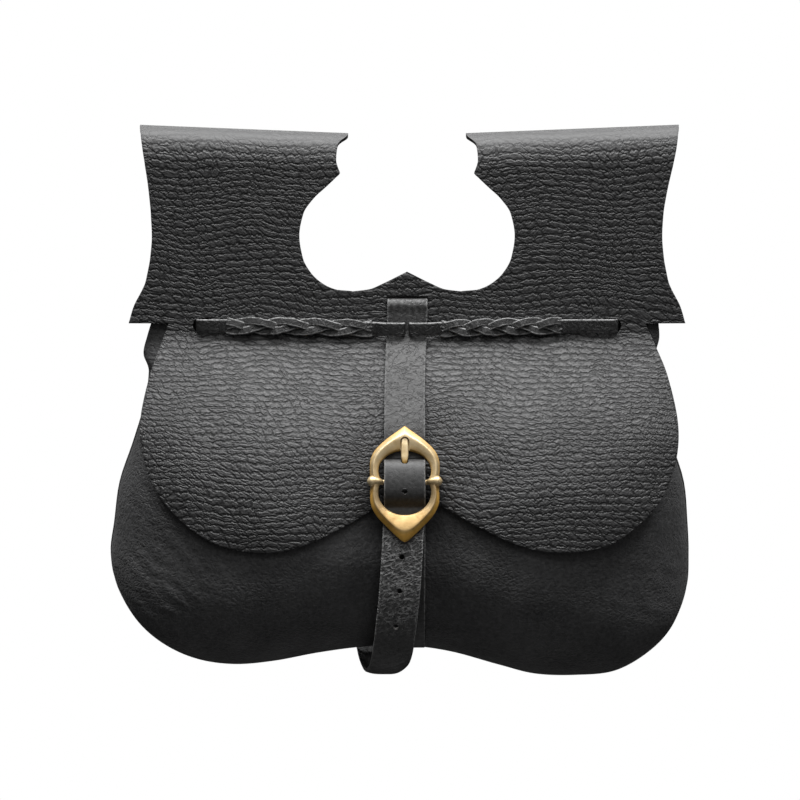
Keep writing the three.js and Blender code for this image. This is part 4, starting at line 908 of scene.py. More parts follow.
def mouth_edge(x):
    """Height of the front wall's mouth."""
    return along(MOUTH_EDGE, "x", "z", np.abs(x))


def back_top(x):
    """Height of the back wall's upper edge: it rises behind the slot of the closing strap."""
    return along(BACK_TOP_EDGE, "x", "z", np.abs(x))


def pouch_outline(across, up, top_row, top_edge):
    """Place in the pouch's outline for shares across and up: a blend of the seam's sides with its bottom and
    with the upper edge, the corners taken out once."""
    bottom = seam_at(SEAM_LEFT_CORNER + (SEAM_RIGHT_CORNER - SEAM_LEFT_CORNER) * across)
    left = seam_at(SEAM_LEFT_CORNER + (top_row - SEAM_LEFT_CORNER) * up)
    right = seam_at(SEAM_RIGHT_CORNER + (SEAM_LAST - top_row - SEAM_RIGHT_CORNER) * up)
    corner = seam_at([SEAM_LEFT_CORNER, SEAM_RIGHT_CORNER, top_row, SEAM_LAST - top_row])
    top_x = corner[2, 0] + (corner[3, 0] - corner[2, 0]) * across
    top = np.stack([top_x, top_edge(top_x)], axis=-1)
    u, v = across[..., None], up[..., None]
    doubled = (1 - v) * ((1 - u) * corner[0] + u * corner[1]) + v * ((1 - u) * corner[2] + u * corner[3])
    return (1 - u) * left + u * right + (1 - v) * bottom + v * top - doubled


def pouch_fullness(side_angle, up):
    """Share of the full depth: round to nothing at the sides and at the bottom seam. Both roundings are
    joined smoothly."""
    side = np.sqrt(np.maximum(1 - np.abs(np.cos(side_angle)) ** SIDE_ROUNDING, 0))
    low = np.maximum(1 - up / BOTTOM_SHARE, 0)
    bottom = np.sqrt(np.maximum(1 - low ** BOTTOM_ROUNDING, 0))
    side, bottom = np.maximum(side, LEAST_ROUNDING), np.maximum(bottom, LEAST_ROUNDING)
    return (side ** -ROUNDING_BLEND + bottom ** -ROUNDING_BLEND - 1) ** (-1 / ROUNDING_BLEND)


def back_depth(x):
    """Depth of the middle of the back wall at its rim."""
    return cover_depth(x, np.full_like(x, LACE_Z)) - BACK_SETBACK


def pouch_front_point(side_angle, bottom_angle):
    """Outside of the front wall by two angles: the rim at the back wall, the full depth under the flap."""
    across, up = (1 - np.cos(side_angle)) / 2, 1 - np.cos(bottom_angle)
    place = pouch_outline(across, up, FRONT_WALL_ROW, mouth_edge)
    x, z = place[..., 0], place[..., 1]
    rim = back_depth(x) + POUCH_HALF + GAP + POUCH_THICK * ramp(RIM_LIFT_FROM, RIM_LIFT_TO, z)
    fall = cover_fall(x, z) * ramp(FALL_FADE_LOW, FALL_FADE_TOP, z)
    full = along(FRONT_PROFILE, "z", "depth", z) - FLAP_CLEAR - cover_dip(x, z) - fall
    depth = rim + (np.maximum(full, rim) - rim) * pouch_fullness(side_angle, up)
    return np.stack([x, -depth, z], axis=-1)


def pouch_back_point(side_angle, bottom_angle):
    """Middle of the back wall by two angles: nearly flat, with a soft bulge below."""
    across, up = (1 - np.cos(side_angle)) / 2, 1 - np.cos(bottom_angle)
    place = pouch_outline(across, up, 0, back_top)
    x, z = place[..., 0], place[..., 1]
    bulge = BACK_BULGE * pouch_fullness(side_angle, up) * ramp(-BULGE_TOP, -BULGE_FULL, -z)
    return np.stack([x, bulge - back_depth(x), z], axis=-1)


def angle_grid(size):
    """Side angle and bottom angle over a wall of the pouch."""
    side = np.linspace(0, np.pi, size[0])
    bottom = np.linspace(0, np.pi / 2, size[1])
    return np.meshgrid(side, bottom)


def make_pouch_front():
    """The front wall: its full form with soft swells, and fine folds towards both sides."""
    side, bottom = angle_grid(FRONT_WALL_GRID)
    points = pouch_front_point(side, bottom)
    x, z = points[..., 0], points[..., 2]
    room = np.sin(side) ** SWELL_SIDE_POWER * ramp(*SWELL_FROM_SEAM, bottom) * ramp(*SWELL_FROM_TOP, z)
    near_side = ramp(*FOLD_FROM_MIDDLE, np.abs(x)) * ramp(*FOLD_FROM_BOTTOM, z) * ramp(*FOLD_FROM_TOP, z)
    lean = np.where(x < 0, z * FOLD_LEAN, -z * FOLD_LEAN)
    swells = POUCH_SWELL * ripples(x, z, **POUCH_WAVES)
    folds = FOLD_HEIGHT * near_side * ripples(x + lean, z, **FOLD_WAVES)
    points[..., 1] += room * (swells + folds)
    piece = new_piece("pouch_front_leather", points.reshape(-1, 3), grid_faces(*side.shape))
    leather_wall(piece, POUCH, POUCH_THICK, INWARDS, POUCH_EDGE)
    return piece


def make_pouch_back():
    """The back wall: its nearly flat form with low swells, and the slots of the lacings."""
    side, bottom = angle_grid(BACK_WALL_GRID)
    points = pouch_back_point(side, bottom)
    x, z = points[..., 0], points[..., 2]
    swell = BACK_SWELL * np.sin(side) * ramp(*BACK_SWELL_FADE, z)
    points[..., 1] += swell * ripples(x, z, **BACK_WAVES)
    piece = new_piece("pouch_back_leather", points.reshape(-1, 3), grid_faces(*side.shape)[:, ::-1])
    leather_wall(piece, POUCH, POUCH_THICK, BOTH_WAYS, POUCH_EDGE)
    cut_out(piece, rear_slits())
    return piece


# Straps

def from_buckle(x, u, n):
    """Place in the bag's frame of a point of the buckle's own plane: u up in the plane, n out of it."""
    x, u, n = np.broadcast_arrays(x, u, n)
    sine, cosine = math.sin(BUCKLE_TILT), math.cos(BUCKLE_TILT)
    return BUCKLE_MIDDLE + np.stack([x, u * sine - n * cosine, u * cosine + n * sine], axis=-1)


BUCKLE_UP = from_buckle(0.0, 1.0, 0.0) - BUCKLE_MIDDLE
BUCKLE_OUT = from_buckle(0.0, 0.0, 1.0) - BUCKLE_MIDDLE


def off_cover(x, z, distance):
    """Place at a distance in front of the middle of the cover along its normal, at the edges of a strap. The
    slope is taken over a millimetre either way."""
    edge = np.full_like(z, STRAP_WIDTH / 2)
    slope = (cover_depth(edge, z - 1) - cover_depth(edge, z + 1)) / 2
    steep = np.hypot(1, slope)
    return np.stack([x, -cover_depth(edge, z) - distance / steep, z + distance * slope / steep], axis=-1)


def closing_points():
    """Route of the closing strap: hidden end, turn through the panel, flap, buckle, loop under the bag."""
    off = COVER_HALF + GAP + STRAP_HALF
    hidden_z = np.array(STRAP_HIDDEN_Z, dtype=float)
    middle = np.zeros_like(hidden_z)
    hidden = np.stack([middle + STRAP_TOP_X, off - cover_depth(middle, hidden_z), hidden_z], axis=1)
    turn = np.linspace(0, np.pi, STRAP_TURN_POINTS)
    turn_y = -cover_depth(np.zeros(1), np.array([STRAP_SLOT_Z]))
    forward = STRAP_BULGE * (1 - np.cos(turn)) / 2
    turned = np.stack([np.full_like(turn, STRAP_TOP_X), turn_y + off * np.cos(turn) - forward,
                       STRAP_SLOT_Z + off * np.sin(turn)], axis=1)
    flap_z = np.array(STRAP_FLAP_Z, dtype=float)
    share = ramp(-STRAP_SLOT_Z, -flap_z[-1], -flap_z)
    on_flap = off_cover(STRAP_TOP_X + (BUCKLE_MIDDLE[0] - STRAP_TOP_X) * share, flap_z, off + GAP / 2)
    in_buckle = from_buckle(0.0, CLOSING_ROUTE[:, 0], CLOSING_ROUTE[:, 1])
    lower = CLOSING_ROUTE[:, 0] < DRIFT_FROM_U
    route = np.concatenate([in_buckle[~lower][-1:, 1:], in_buckle[lower][:, 1:], HANG_ROUTE])
    length = np.cumsum(np.linalg.norm(np.diff(route, axis=0), axis=1))
    drift = BUCKLE_MIDDLE[0] - along(STRAP_DRIFT, "length", "left", length)
    hanging = np.concatenate([drift[:, None], route[1:]], axis=1)
    return np.concatenate([hidden, turned, on_flap, in_buckle[~lower], hanging])


def round_outline(radius, sides):
    """Regular outline about the middle: points at equal angles on a circle."""
    angle = np.linspace(0, 2 * np.pi, sides, endpoint=False)
    return radius * np.stack([np.cos(angle), np.sin(angle)], axis=1)


def slot_outline(width, length, sides):
    """Upright slot with round ends."""
    ring = round_outline(width / 2, sides)
    ring[:, 1] += np.where(ring[:, 1] >= 0, 1, -1) * (length - width) / 2
    return ring


def make_closing_strap():
    """The closing strap: a strip along its route, creased below the buckle, with its holes."""
    path, length = strap_path(closing_points(), STRAP_STEP)
    profile = strip_profile(STRAP_WIDTH / 2, STRAP_HALF, STRAP_EDGE, STRAP_COLUMNS)
    depth, rise = path[:, 1], path[:, 2]
    in_front = depth < STRAP_FRONT_Y
    below = ramp(*CREASED_FROM_TOP, rise) * ramp(*CREASED_FROM_BOTTOM, rise) * in_front
    smooth = ramp(*SMOOTH_FROM_TOP, rise) * ramp(*SMOOTH_FROM_BOTTOM, rise) * in_front
    # Painted highlight on the tab's bend, carried in the edge mark
    bend_highlight = TAB_HIGHLIGHT * ramp(*TAB_RANGE, rise) * (depth < TAB_FRONT_Y)
    width, height = profile[None, :, 0], profile[None, :, 1]
    u, v = np.broadcast_arrays(width, length[:, None])
    crease = np.exp(-(np.abs(ripples(u, v, **CREASE_WAVES)) / CREASE_WIDTH) ** 2)
    creased = np.where(height > 0, height - CREASE_HEIGHT * below[:, None] * crease, height)
    section = np.stack(np.broadcast_arrays(width, creased), axis=-1)
    points, faces = carried(path, TO_RIGHT, section)
    low = ramp(*CUP_RANGE, rise)[:, None]
    beside = np.clip((2 * np.abs(u) / STRAP_WIDTH - CUP_FROM) / (1 - CUP_FROM), 0, 1)
    points[:, 2] += (np.where(u > 0, CUP_RIGHT, CUP_LEFT) * low * beside ** CUP_POWER).ravel()
    pattern = np.stack([u, v], axis=-1).reshape(-1, 2)
    edge_wear_and_light = np.tile(strip_edge_mark(profile, STRAP_WIDTH / 2, STRAP_EDGE_RUB), len(path))
    marks = {
        "edge_wear_and_light": edge_wear_and_light + np.repeat(bend_highlight, len(profile)),
        "creased": np.repeat(below, len(profile)),
        "smooth": np.repeat(smooth, len(profile)),
    }
    piece = new_piece("closing_strap_leather", points, faces, pattern, marks)
    piece.data.materials.append(STRAP)
    tangent = unit(np.gradient(path, axis=0))
    ring = round_outline(HOLE_RADIUS, HOLE_SIDES)
    near_buckle = from_buckle(0.0, np.array(STRAP_HOLES_U), OPENING_SHIFT)
    spots = [np.argmin(np.linalg.norm(path - spot, axis=1)) for spot in near_buckle]
    spots += [np.argmin(np.abs(rise - z) + HOLE_SEARCH_PENALTY * ~in_front) for z in STRAP_HOLES_Z]
    holes = []
    for spot in spots:
        normal = unit(np.cross(tangent[spot], TO_RIGHT))
        holes.append(pin_cutter(ring, path[spot], TO_RIGHT, np.cross(normal, TO_RIGHT), normal, HOLE_REACH))
    slot = slot_outline(PIN_SLOT_WIDTH, PIN_SLOT_LENGTH, HOLE_SIDES)
    middle = from_buckle(0.0, PIN_SLOT_U, 0.0)
    pin_slot = pin_cutter(slot, middle, TO_RIGHT, BUCKLE_UP, BUCKLE_OUT, PIN_SLOT_REACH)
    # The holes' walls get the pale painted highlight
    cut_out(piece, holes, HOLE_WALL_HIGHLIGHT)
    cut_out(piece, [pin_slot] + middle_slits())
    return piece


def holder_points():
    """Route of the buckle's strap: short end behind, round the bar, down the pouch and round its bottom."""
    rear = from_buckle(0.0, HOLDER_REAR[:, 0], HOLDER_REAR[:, 1])
    loop = BAR_RADIUS + GAP + STRAP_HALF
    turn = np.linspace(-np.pi / 2, np.pi / 2, HOLDER_TURN_POINTS)
    around = from_buckle(0.0, loop * np.cos(turn), BAR_N + loop * np.sin(turn))
    front = from_buckle(0.0, HOLDER_FRONT[:, 0], HOLDER_FRONT[:, 1])
    off = GAP + STRAP_HALF + HOLDER_SLACK
    angle = np.linspace(HOLDER_END, np.pi / 2, HOLDER_STEPS + 1)
    side = np.full_like(angle, HOLDER_EDGE_ANGLE)
    wall = pouch_front_point(side, angle)
    slope = unit(pouch_front_point(side, angle + SLOPE_STEP) - wall)
    on_pouch = np.stack([np.full_like(angle, BUCKLE_MIDDLE[0]), wall[:, 1] - off * slope[:, 2],
                         wall[:, 2] + off * slope[:, 1]], axis=1)
    on_pouch = on_pouch[wall[:, 2] < HOLDER_LOW][::-1]
    return np.concatenate([rear, around, front, on_pouch])


def make_buckle_strap():
    """The buckle's strap: a strip carried along its route, with the slit for the pin's eye."""
    path, length = strap_path(holder_points(), STRAP_STEP)
    profile = strip_profile(STRAP_WIDTH / 2, STRAP_HALF, STRAP_EDGE, STRAP_COLUMNS)
    points, faces = carried(path, TO_RIGHT, profile)
    u, v = np.broadcast_arrays(profile[None, :, 0], length[:, None])
    marks = {
        "edge_wear_and_light": np.tile(strip_edge_mark(profile, STRAP_WIDTH / 2, STRAP_EDGE_RUB), len(path)),
        "creased": np.zeros(len(points)),
    }
    piece = new_piece("buckle_strap_leather", points, faces, np.stack([u, v], axis=-1).reshape(-1, 2), marks)
    piece.data.materials.append(STRAP)
    half = PIN_WIDTH / 2 + GAP
    eye = np.array([(-half, EYE_SLIT_LOW), (half, EYE_SLIT_LOW), (half, EYE_SLIT_TOP), (-half, EYE_SLIT_TOP)])
    middle = from_buckle(0.0, 0.0, BAR_N)
    cut_out(piece, [pin_cutter(eye, middle, TO_RIGHT, BUCKLE_UP, BUCKLE_OUT, EYE_SLIT_REACH)])
    return piece


# Lacings

def lace_sag(x):
    """How far a lacing hangs down towards the middle."""
    return LACE_SAG * (1 - ramp(0, LACE_SAG_REACH, x))


def lace_front(x):
    """Depth of the middle of a lacing in front of the panel: over the strap, then down onto the cover."""
    on_cover = -cover_depth(x, LACE_LOW - lace_sag(x)) - COVER_HALF - LACE_GAP - LACE_HALF
    return on_cover - (STRAP_THICK + 3 * GAP) * (1 - ramp(LACE_STEP_FROM, LACE_STEP_TO, x))


def leaf_back(x):
    """Depth of the middle of a lacing behind a rear leaf."""
    return rear_leaf_y(x, np.full_like(x, LACE_HIGH)) + COVER_HALF + LACE_GAP + LACE_HALF


def lace_corner(x, y, start, end):
    """Quarter turn of a lacing about a point."""
    angle = np.linspace(start, end, LACE_TURN_POINTS)
    return np.stack([x + LACE_TURN * np.cos(angle), y + LACE_TURN * np.sin(angle)], axis=1)


def lace_ends(braid_from, braid_to):
    """Routes of the flat ends, x outwards and y back: through the middle slit, and through the outer slot."""
    middle_back = -back_depth(np.zeros(1))[0] + POUCH_HALF + LACE_GAP + LACE_HALF
    middle_turn = LACE_MIDDLE_X + LACE_TURN
    slot_turn, tail_turn = LACE_SLOT_X - LACE_TURN, LACE_SLOT_X + LACE_TURN
    rise = np.linspace(LACE_RISE_FROM, braid_from, LACE_RISE_POINTS)
    flat = np.linspace(braid_to - STRAND_OVERLAP, slot_turn - LACE_HALF, LACE_FLAT_POINTS)
    tail = tail_turn + np.array([LACE_TAIL / 2, LACE_TAIL])
    front_middle, front_braid, front_slot = lace_front(np.array([0, braid_from, slot_turn]))
    middle = np.concatenate([
        [(middle_turn + LACE_TAIL, middle_back), (middle_turn + LACE_TAIL / 2, middle_back)],
        lace_corner(middle_turn, middle_back - LACE_TURN, np.pi / 2, np.pi),
        lace_corner(middle_turn, front_middle + LACE_TURN, np.pi, np.pi * 1.5),
        np.stack([rise, lace_front(rise)], axis=1),
        [(braid_from + STRAND_OVERLAP, front_braid)],
    ])
    slot = np.concatenate([
        np.stack([flat, lace_front(flat)], axis=1),
        lace_corner(slot_turn, front_slot + LACE_TURN, -np.pi / 2, 0),
        lace_corner(tail_turn, leaf_back(np.array([LACE_SLOT_X]))[0] - LACE_TURN, np.pi, np.pi / 2),
        np.stack([tail, leaf_back(tail)], axis=1),
    ])
    return middle, slot


def lace_strand(k, braid_from, braid_to, pitch):
    """Route of one of the plaited strands: it swings up and down once in a pitch and in and out twice, each
    strand a third of a pitch after the one before. It opens over a fifth of a pitch at the braid's ends."""
    x = np.arange(braid_from, braid_to, LACE_STEP)
    turn = 2 * np.pi * ((x - braid_from) / pitch + k / STRANDS)
    open_share = ramp(0, pitch / STRAND_OPENING_PART, np.minimum(x - braid_from, braid_to - x))
    y = lace_front(x) - STRAND_LIFT * open_share * (STRAND_SINK + np.sin(2 * turn))
    z = LACE_Z - lace_sag(x) + STRAND_SWING * np.sin(turn)
    return np.stack([x, y, z], axis=1)


def make_lacing(name, side, braid_from, braid_to, pitch):
    """One lacing: two flat ends and three plaited strands between them. Each has its own place in the flat
    pattern."""
    mirror = np.array([side, 1, 1])
    strip = strip_profile(LACE_WIDTH / 2, LACE_HALF, LACE_EDGE, LACE_COLUMNS)
    strand = strip_profile(STRAND_HALF_WIDTH, STRAND_HALF_THICK, STRAND_EDGE, STRAND_COLUMNS)
    strips = []
    for route in lace_ends(braid_from, braid_to):
        path, length = strap_path(np.column_stack([route, LACE_Z - lace_sag(route[:, 0])]), LACE_STEP)
        strips.append((path, UPWARDS, strip, length, LACE_WIDTH / 2))
    lean = unit(FRONTWARDS + STRAND_TILT * UPWARDS)
    for k in range(STRANDS):
        path = lace_strand(k, braid_from, braid_to, pitch)
        across = unit(np.cross(lean, unit(np.gradient(path, axis=0))))
        uneven = 1 + STRAND_UNEVEN * ripples(path[:, 0], path[:, 2], STRAND_SEED + k, **STRAND_WAVES)
        strips.append((path, across, strand[None] * uneven[:, None, None], path[:, 0], STRAND_HALF_WIDTH))
    shells, pattern, wear_and_light, start = [], [], [], 0
    for path, across, profile, length, half_width in strips:
        points, faces = carried(path, across, profile)
        profile = profile.reshape(-1, *profile.shape[-2:])[0]
        u, v = np.broadcast_arrays(profile[None, :, 0], length[:, None])
        pattern.append(np.stack([u + start, v], axis=-1).reshape(-1, 2))
        # The lacings' pale edges are a painted highlight
        wear_and_light.append(np.tile(strip_edge_mark(profile, half_width, LACE_EDGE_HIGHLIGHT), len(path)))
        shells.append((points * mirror, faces))
        start += len(points)
    points, faces = joined(shells)
    marks = {"edge_wear_and_light": np.concatenate(wear_and_light), "creased": np.full(start, LACE_CREASED)}
    piece = new_piece(f"{name}_leather", points, faces, np.concatenate(pattern), marks)
    piece.data.materials.append(LACE)
    return piece


# Buckle

def opening_edge(share):
    """Right half of the opening's edge from the top to the bottom: two ellipses that meet in a cusp."""
    upper = share <= HALF
    height = np.where(upper, OPENING_TOP, OPENING_BOTTOM)
    cusp = np.arcsin(OPENING_SHIFT / height)
    local = np.where(upper, share * 2, (1 - share) * 2)
    angle = np.pi / 2 - local * (np.pi / 2 + cusp)
    u = OPENING_SHIFT + height * np.sin(angle)
    return np.stack([OPENING_HALF_WIDTH * np.cos(angle), np.where(upper, u, -u)], axis=1)


def frame_ring():
    """Ring of the buckle's frame: a crested section between the opening's edge and the outline."""
    share = np.linspace(0, 1, FRAME_STATIONS + 1)
    inner = opening_edge(share)
    outline = np.stack([FRAME_OUTER["x"], FRAME_OUTER["u"]], axis=1)
    outer = flowing(outline, share * (len(outline) - 1))
    across = FRAME_SECTION["share"][None, :, None]
    flat = inner[:, None] * (1 - across) + outer[:, None] * across
    height = np.broadcast_to(FRAME_SECTION["height"][None, :, None], flat.shape[:2] + (1,))
    right = np.concatenate([flat, height], axis=2)
    left = (right * np.array([-1, 1, 1]))[-2:0:-1]
    ring = np.concatenate([right, left])
    return ring.reshape(-1, 3), grid_faces(*ring.shape[:2], round_rows=True, round_columns=True)


def turned_bead(x, radius, sides, squareness):
    """Bead turned about the X axis: a radius for each x, and a cross-section between circle and diamond."""
    angle = np.linspace(0, 2 * np.pi, sides, endpoint=False)
    form = (np.abs(np.cos(angle)) ** squareness + np.abs(np.sin(angle)) ** squareness) ** (-1 / squareness)
    ring = radius[:, None, None] * np.stack([np.cos(angle) * form, np.sin(angle) * form], axis=1)
    points = np.concatenate([np.broadcast_to(x[:, None, None], (len(x), sides, 1)), ring], axis=2)
    last = (len(x) - 1) * sides
    ends = [tuple(range(sides))[::-1], tuple(range(last, last + sides))]
    return points.reshape(-1, 3), listed(grid_faces(len(x), sides, round_columns=True)) + ends


def buckle_shape(points):
    """Points drawn in the buckle's own plane (x, u, n), set into the bag's frame."""
    return from_buckle(points[:, 0], points[:, 1], points[:, 2])


def make_buckle_frame():
    """The cast frame: crested ring with the recess for the pin's tip, then middle bar and side beads."""
    ring, faces = frame_ring()
    up = ring[:, 1]
    lower = ramp(*LOWER_HALF_FADE, up)
    repeats = len(ring) // len(FRAME_SECTION["share"])
    # Tarnish and painted shade on the ring's edges and on its low face
    tarnished = np.tile(FRAME_SECTION["tarnished"], repeats) * lower
    tarnished = np.maximum(tarnished, np.tile(FRAME_SECTION["brown"], repeats) * (1 - lower))
    tarnished = np.maximum(tarnished, LOW_FACE_SHADE * ramp(*LOW_FACE_FADE, up))
    marks = {"tarnished": tarnished, "golden": ramp(*GOLDEN_FADE, up)}
    piece = new_piece("buckle_frame_brass", buckle_shape(ring), outward(ring, listed(faces)), None, marks)
    recess = slot_outline(2 * RECESS_HALF_WIDTH, 2 * (RECESS_TOP - OPENING_SHIFT), HOLE_SIDES)
    floor = PIN_N - PIN_THICK / 2 - GAP
    middle = from_buckle(0.0, OPENING_SHIFT, floor + RECESS_REACH)
    cut_out(piece, [pin_cutter(recess, middle, TO_RIGHT, BUCKLE_UP, BUCKLE_OUT, RECESS_REACH)])
    bar_ends = np.array([-BAR_HALF_LENGTH, BAR_HALF_LENGTH])
    bar = turned_bead(bar_ends, np.full(2, BAR_RADIUS), BAR_SIDES, BAR_SQUARENESS)
    bar[0][:, 2] += BAR_N
    x = np.linspace(BEAD["x"][0], BEAD["x"][-1], BEAD_ROWS)
    radius = along(BEAD, "x", "radius", x)
    beads = [turned_bead(side * x, radius, BEAD_SIDES, BEAD_SQUARENESS) for side in (-1, 1)]
    for bead_points, _ in beads:
        bead_points[:, 2] += BEAD_N
    points, faces = joined([bar] + beads)
    add_shells(piece, buckle_shape(points), faces)
    piece.data.materials.append(BRASS)
    return piece


def add_shells(piece, points, faces):
    """Adds closed shells to the mesh of a piece."""
    more = new_mesh("shells", points, faces)
    whole = bmesh.new()
    whole.from_mesh(piece.data)
    whole.from_mesh(more)
    whole.to_mesh(piece.data)
    whole.free()
    bpy.data.meshes.remove(more)


def make_buckle_pin():
    """The pin: a strip curled round the middle bar and run up into the recess, with a rounded tip. It dips
    and narrows where it goes under the strap."""
    turn = np.radians(np.linspace(*PIN_CURL, PIN_CURL_POINTS))
    curl = np.stack([-EYE_PATH_RADIUS * np.cos(turn), BAR_N + EYE_PATH_RADIUS * np.sin(turn)], axis=1)
    tip = RECESS_TOP - GAP
    up = np.linspace(PIN_ROUTE[-1, 0], tip, PIN_TIP_POINTS)[1:]
    route = np.concatenate([curl, PIN_ROUTE, np.stack([up, np.full(len(up), PIN_N)], axis=1)])
    path, length = strap_path(from_buckle(0.0, route[:, 0], route[:, 1]), PIN_STEP)
    left = length[-1] - length
    from_tip = np.clip(left / (PIN_WIDTH / 2), 0, 1)
    rounding = np.sqrt(np.clip(1 - (1 - from_tip) ** 2, PIN_TIP_LEAST, 1))
    free, under = tip - PIN_ROUTE[-1, 0] - PIN_NECK_END, tip - PIN_ROUTE[-3, 0]
    neck = PIN_NECK + (1 - PIN_NECK) * ramp(under, free, left)
    thin = PIN_TIP_THIN + (1 - PIN_TIP_THIN) * np.clip(left / PIN_WIDTH, 0, 1)
    profile = strip_profile(PIN_WIDTH / 2, PIN_THICK / 2, PIN_EDGE, PIN_COLUMNS)
    width, height = profile[None, :, 0], profile[None, :, 1]
    section = np.stack([width * (rounding * neck)[:, None], height * thin[:, None]], axis=-1)
    points, faces = carried(path, TO_RIGHT, section)
    # Painted shade on the part of the pin that lies under the strap
    tarnished = np.repeat(ramp(free, under, left), len(profile))
    piece = new_piece("buckle_pin_brass", points, outward(points, faces), None, {"tarnished": tarnished})
    piece.data.materials.append(BRASS)
    return piece


# Finishes

class Finish:
    """Material made of nodes that are added one after another."""

    def __init__(self, name):
        self.material = bpy.data.materials.new(name)
        self.material.use_nodes = True
        self.tree = self.material.node_tree
        self.shader = self.tree.nodes["Principled BSDF"]

    def feed(self, socket, value):
        """Joins a socket to another, or sets its value."""
        if isinstance(value, bpy.types.NodeSocket):
            self.tree.links.new(value, socket)
        else:
            socket.default_value = value

    def add(self, kind, inputs, **settings):
        """New node with its settings and inputs."""
        node = self.tree.nodes.new(f"ShaderNode{kind}")
        for key, value in settings.items():
            setattr(node, key, value)
        for key, value in inputs.items():
            self.feed(node.inputs[key], value)
        return node

    def pattern(self):
        """Flat pattern of the leather in millimetres."""
        return self.add("UVMap", {}, uv_map="pattern").outputs["UV"]

    def place(self):
        """Place on the piece in metres."""
        return self.tree.nodes.new("ShaderNodeTexCoord").outputs["Object"]

    def mark(self, name):
        """Named value of the piece's points."""
        return self.add("Attribute", {}, attribute_name=name).outputs["Fac"]

    def scaled(self, vector, scale, turn=0.0):
        """Vector scaled, then turned about Z."""
        inputs = {"Vector": vector, "Scale": scale, "Rotation": (0, 0, turn)}
        return self.add("Mapping", inputs).outputs["Vector"]

    def noise(self, vector, scale, detail, roughness=HALF):
        """Cloudy value between 0 and 1."""
        inputs = {"Vector": vector, "Scale": scale, "Detail": detail, "Roughness": roughness}
        return self.add("TexNoise", inputs).outputs["Fac"]

    def bent(self, vector, scale, across, up=None):
        """Vector pushed about by a slow noise, by as much upwards as across unless said."""
        amount = (across, across if up is None else up, across)
        drift = self.add("TexNoise", {"Vector": vector, "Scale": scale, "Detail": BEND_DETAIL})
        less_middle = {0: drift.outputs["Color"], 1: (HALF, HALF, HALF)}
        centred = self.add("VectorMath", less_middle, operation="SUBTRACT")
        push = {0: centred.outputs["Vector"], 1: amount, 2: vector}
        return self.add("VectorMath", push, operation="MULTIPLY_ADD").outputs["Vector"]

    def cells(self, vector, randomness=CELL_UNEVEN, dimensions="2D"):
        """Distance from the edges of a net of uneven cells."""
        inputs = {"Vector": vector, "Scale": 1.0, "Randomness": randomness}
        net = self.add("TexVoronoi", inputs, voronoi_dimensions=dimensions, feature="DISTANCE_TO_EDGE")
        return net.outputs["Distance"]

    def off_middle(self, value):
        """Distance from the middle of each whole step of a value, from 0 to a half."""
        return self.number("ABSOLUTE", self.number("SUBTRACT", self.number("FRACT", value), HALF))

    def nearest(self, vector):
        """Distance from the nearest of scattered points."""
        inputs = {"Vector": vector, "Scale": 1.0}
        return self.add("TexVoronoi", inputs, voronoi_dimensions="2D", feature="F1").outputs["Distance"]

    def spread(self, value, low, high, to_low=0.0, to_high=1.0):
        """Value moved smoothly from one range to another."""
        inputs = {"Value": value, "From Min": low, "From Max": high, "To Min": to_low, "To Max": to_high}
        return self.add("MapRange", inputs, interpolation_type="SMOOTHSTEP").outputs["Result"]

    def sum(self, first, second, weight=1.0):
        """First value plus a weighted second."""
        return self.add("Math", {0: second, 1: weight, 2: first}, operation="MULTIPLY_ADD").outputs["Value"]

    def product(self, first, second):
        """Product of two values."""
        return self.number("MULTIPLY", first, second)

    def number(self, operation, first, second=0.0):
        """Result of a named sum on one or two values."""
        return self.add("Math", {0: first, 1: second}, operation=operation).outputs["Value"]

    def parts(self, vector):
        """X and Y of a vector."""
        split = self.add("SeparateXYZ", {"Vector": vector})
        return split.outputs["X"], split.outputs["Y"]

    def lines(self, vector, scale, width, detail=1.0):
        """Thin lines where a stretched noise passes its middle: 0 on the line and 1 beside it."""
        cloud = self.noise(self.scaled(vector, scale), 1.0, detail)
        off = self.number("ABSOLUTE", self.number("SUBTRACT", cloud, HALF))
        return self.spread(off, 0.0, width)

    def mixed(self, share, first, second):
        """Colour between two colours."""
        return self.add("MixRGB", {"Fac": share, "Color1": first, "Color2": second}).outputs["Color"]

    def tint(self, value, *stops):
        """Colour by value through stops of position and colour."""
        node = self.add("ValToRGB", {"Fac": value})
        ramp_stops = node.color_ramp.elements
        while len(ramp_stops) < len(stops):
            ramp_stops.new(HALF)
        for stop, (position, colour) in zip(ramp_stops, stops):
            stop.position = position
            stop.color = (*colour, 1)
        return node.outputs["Color"]

    def relief(self, height, depth):
        """Small relief of a height, depth in millimetres, on the shader's normal."""
        bump = self.add("Bump", {"Height": height, "Distance": depth * MM, "Strength": 1.0})
        self.feed(self.shader.inputs["Normal"], bump.outputs["Normal"])

    def surface(self, sockets):
        """Sets or joins the shader's own sockets by name."""
        for name, value in sockets.items():
            self.feed(self.shader.inputs[name], value)


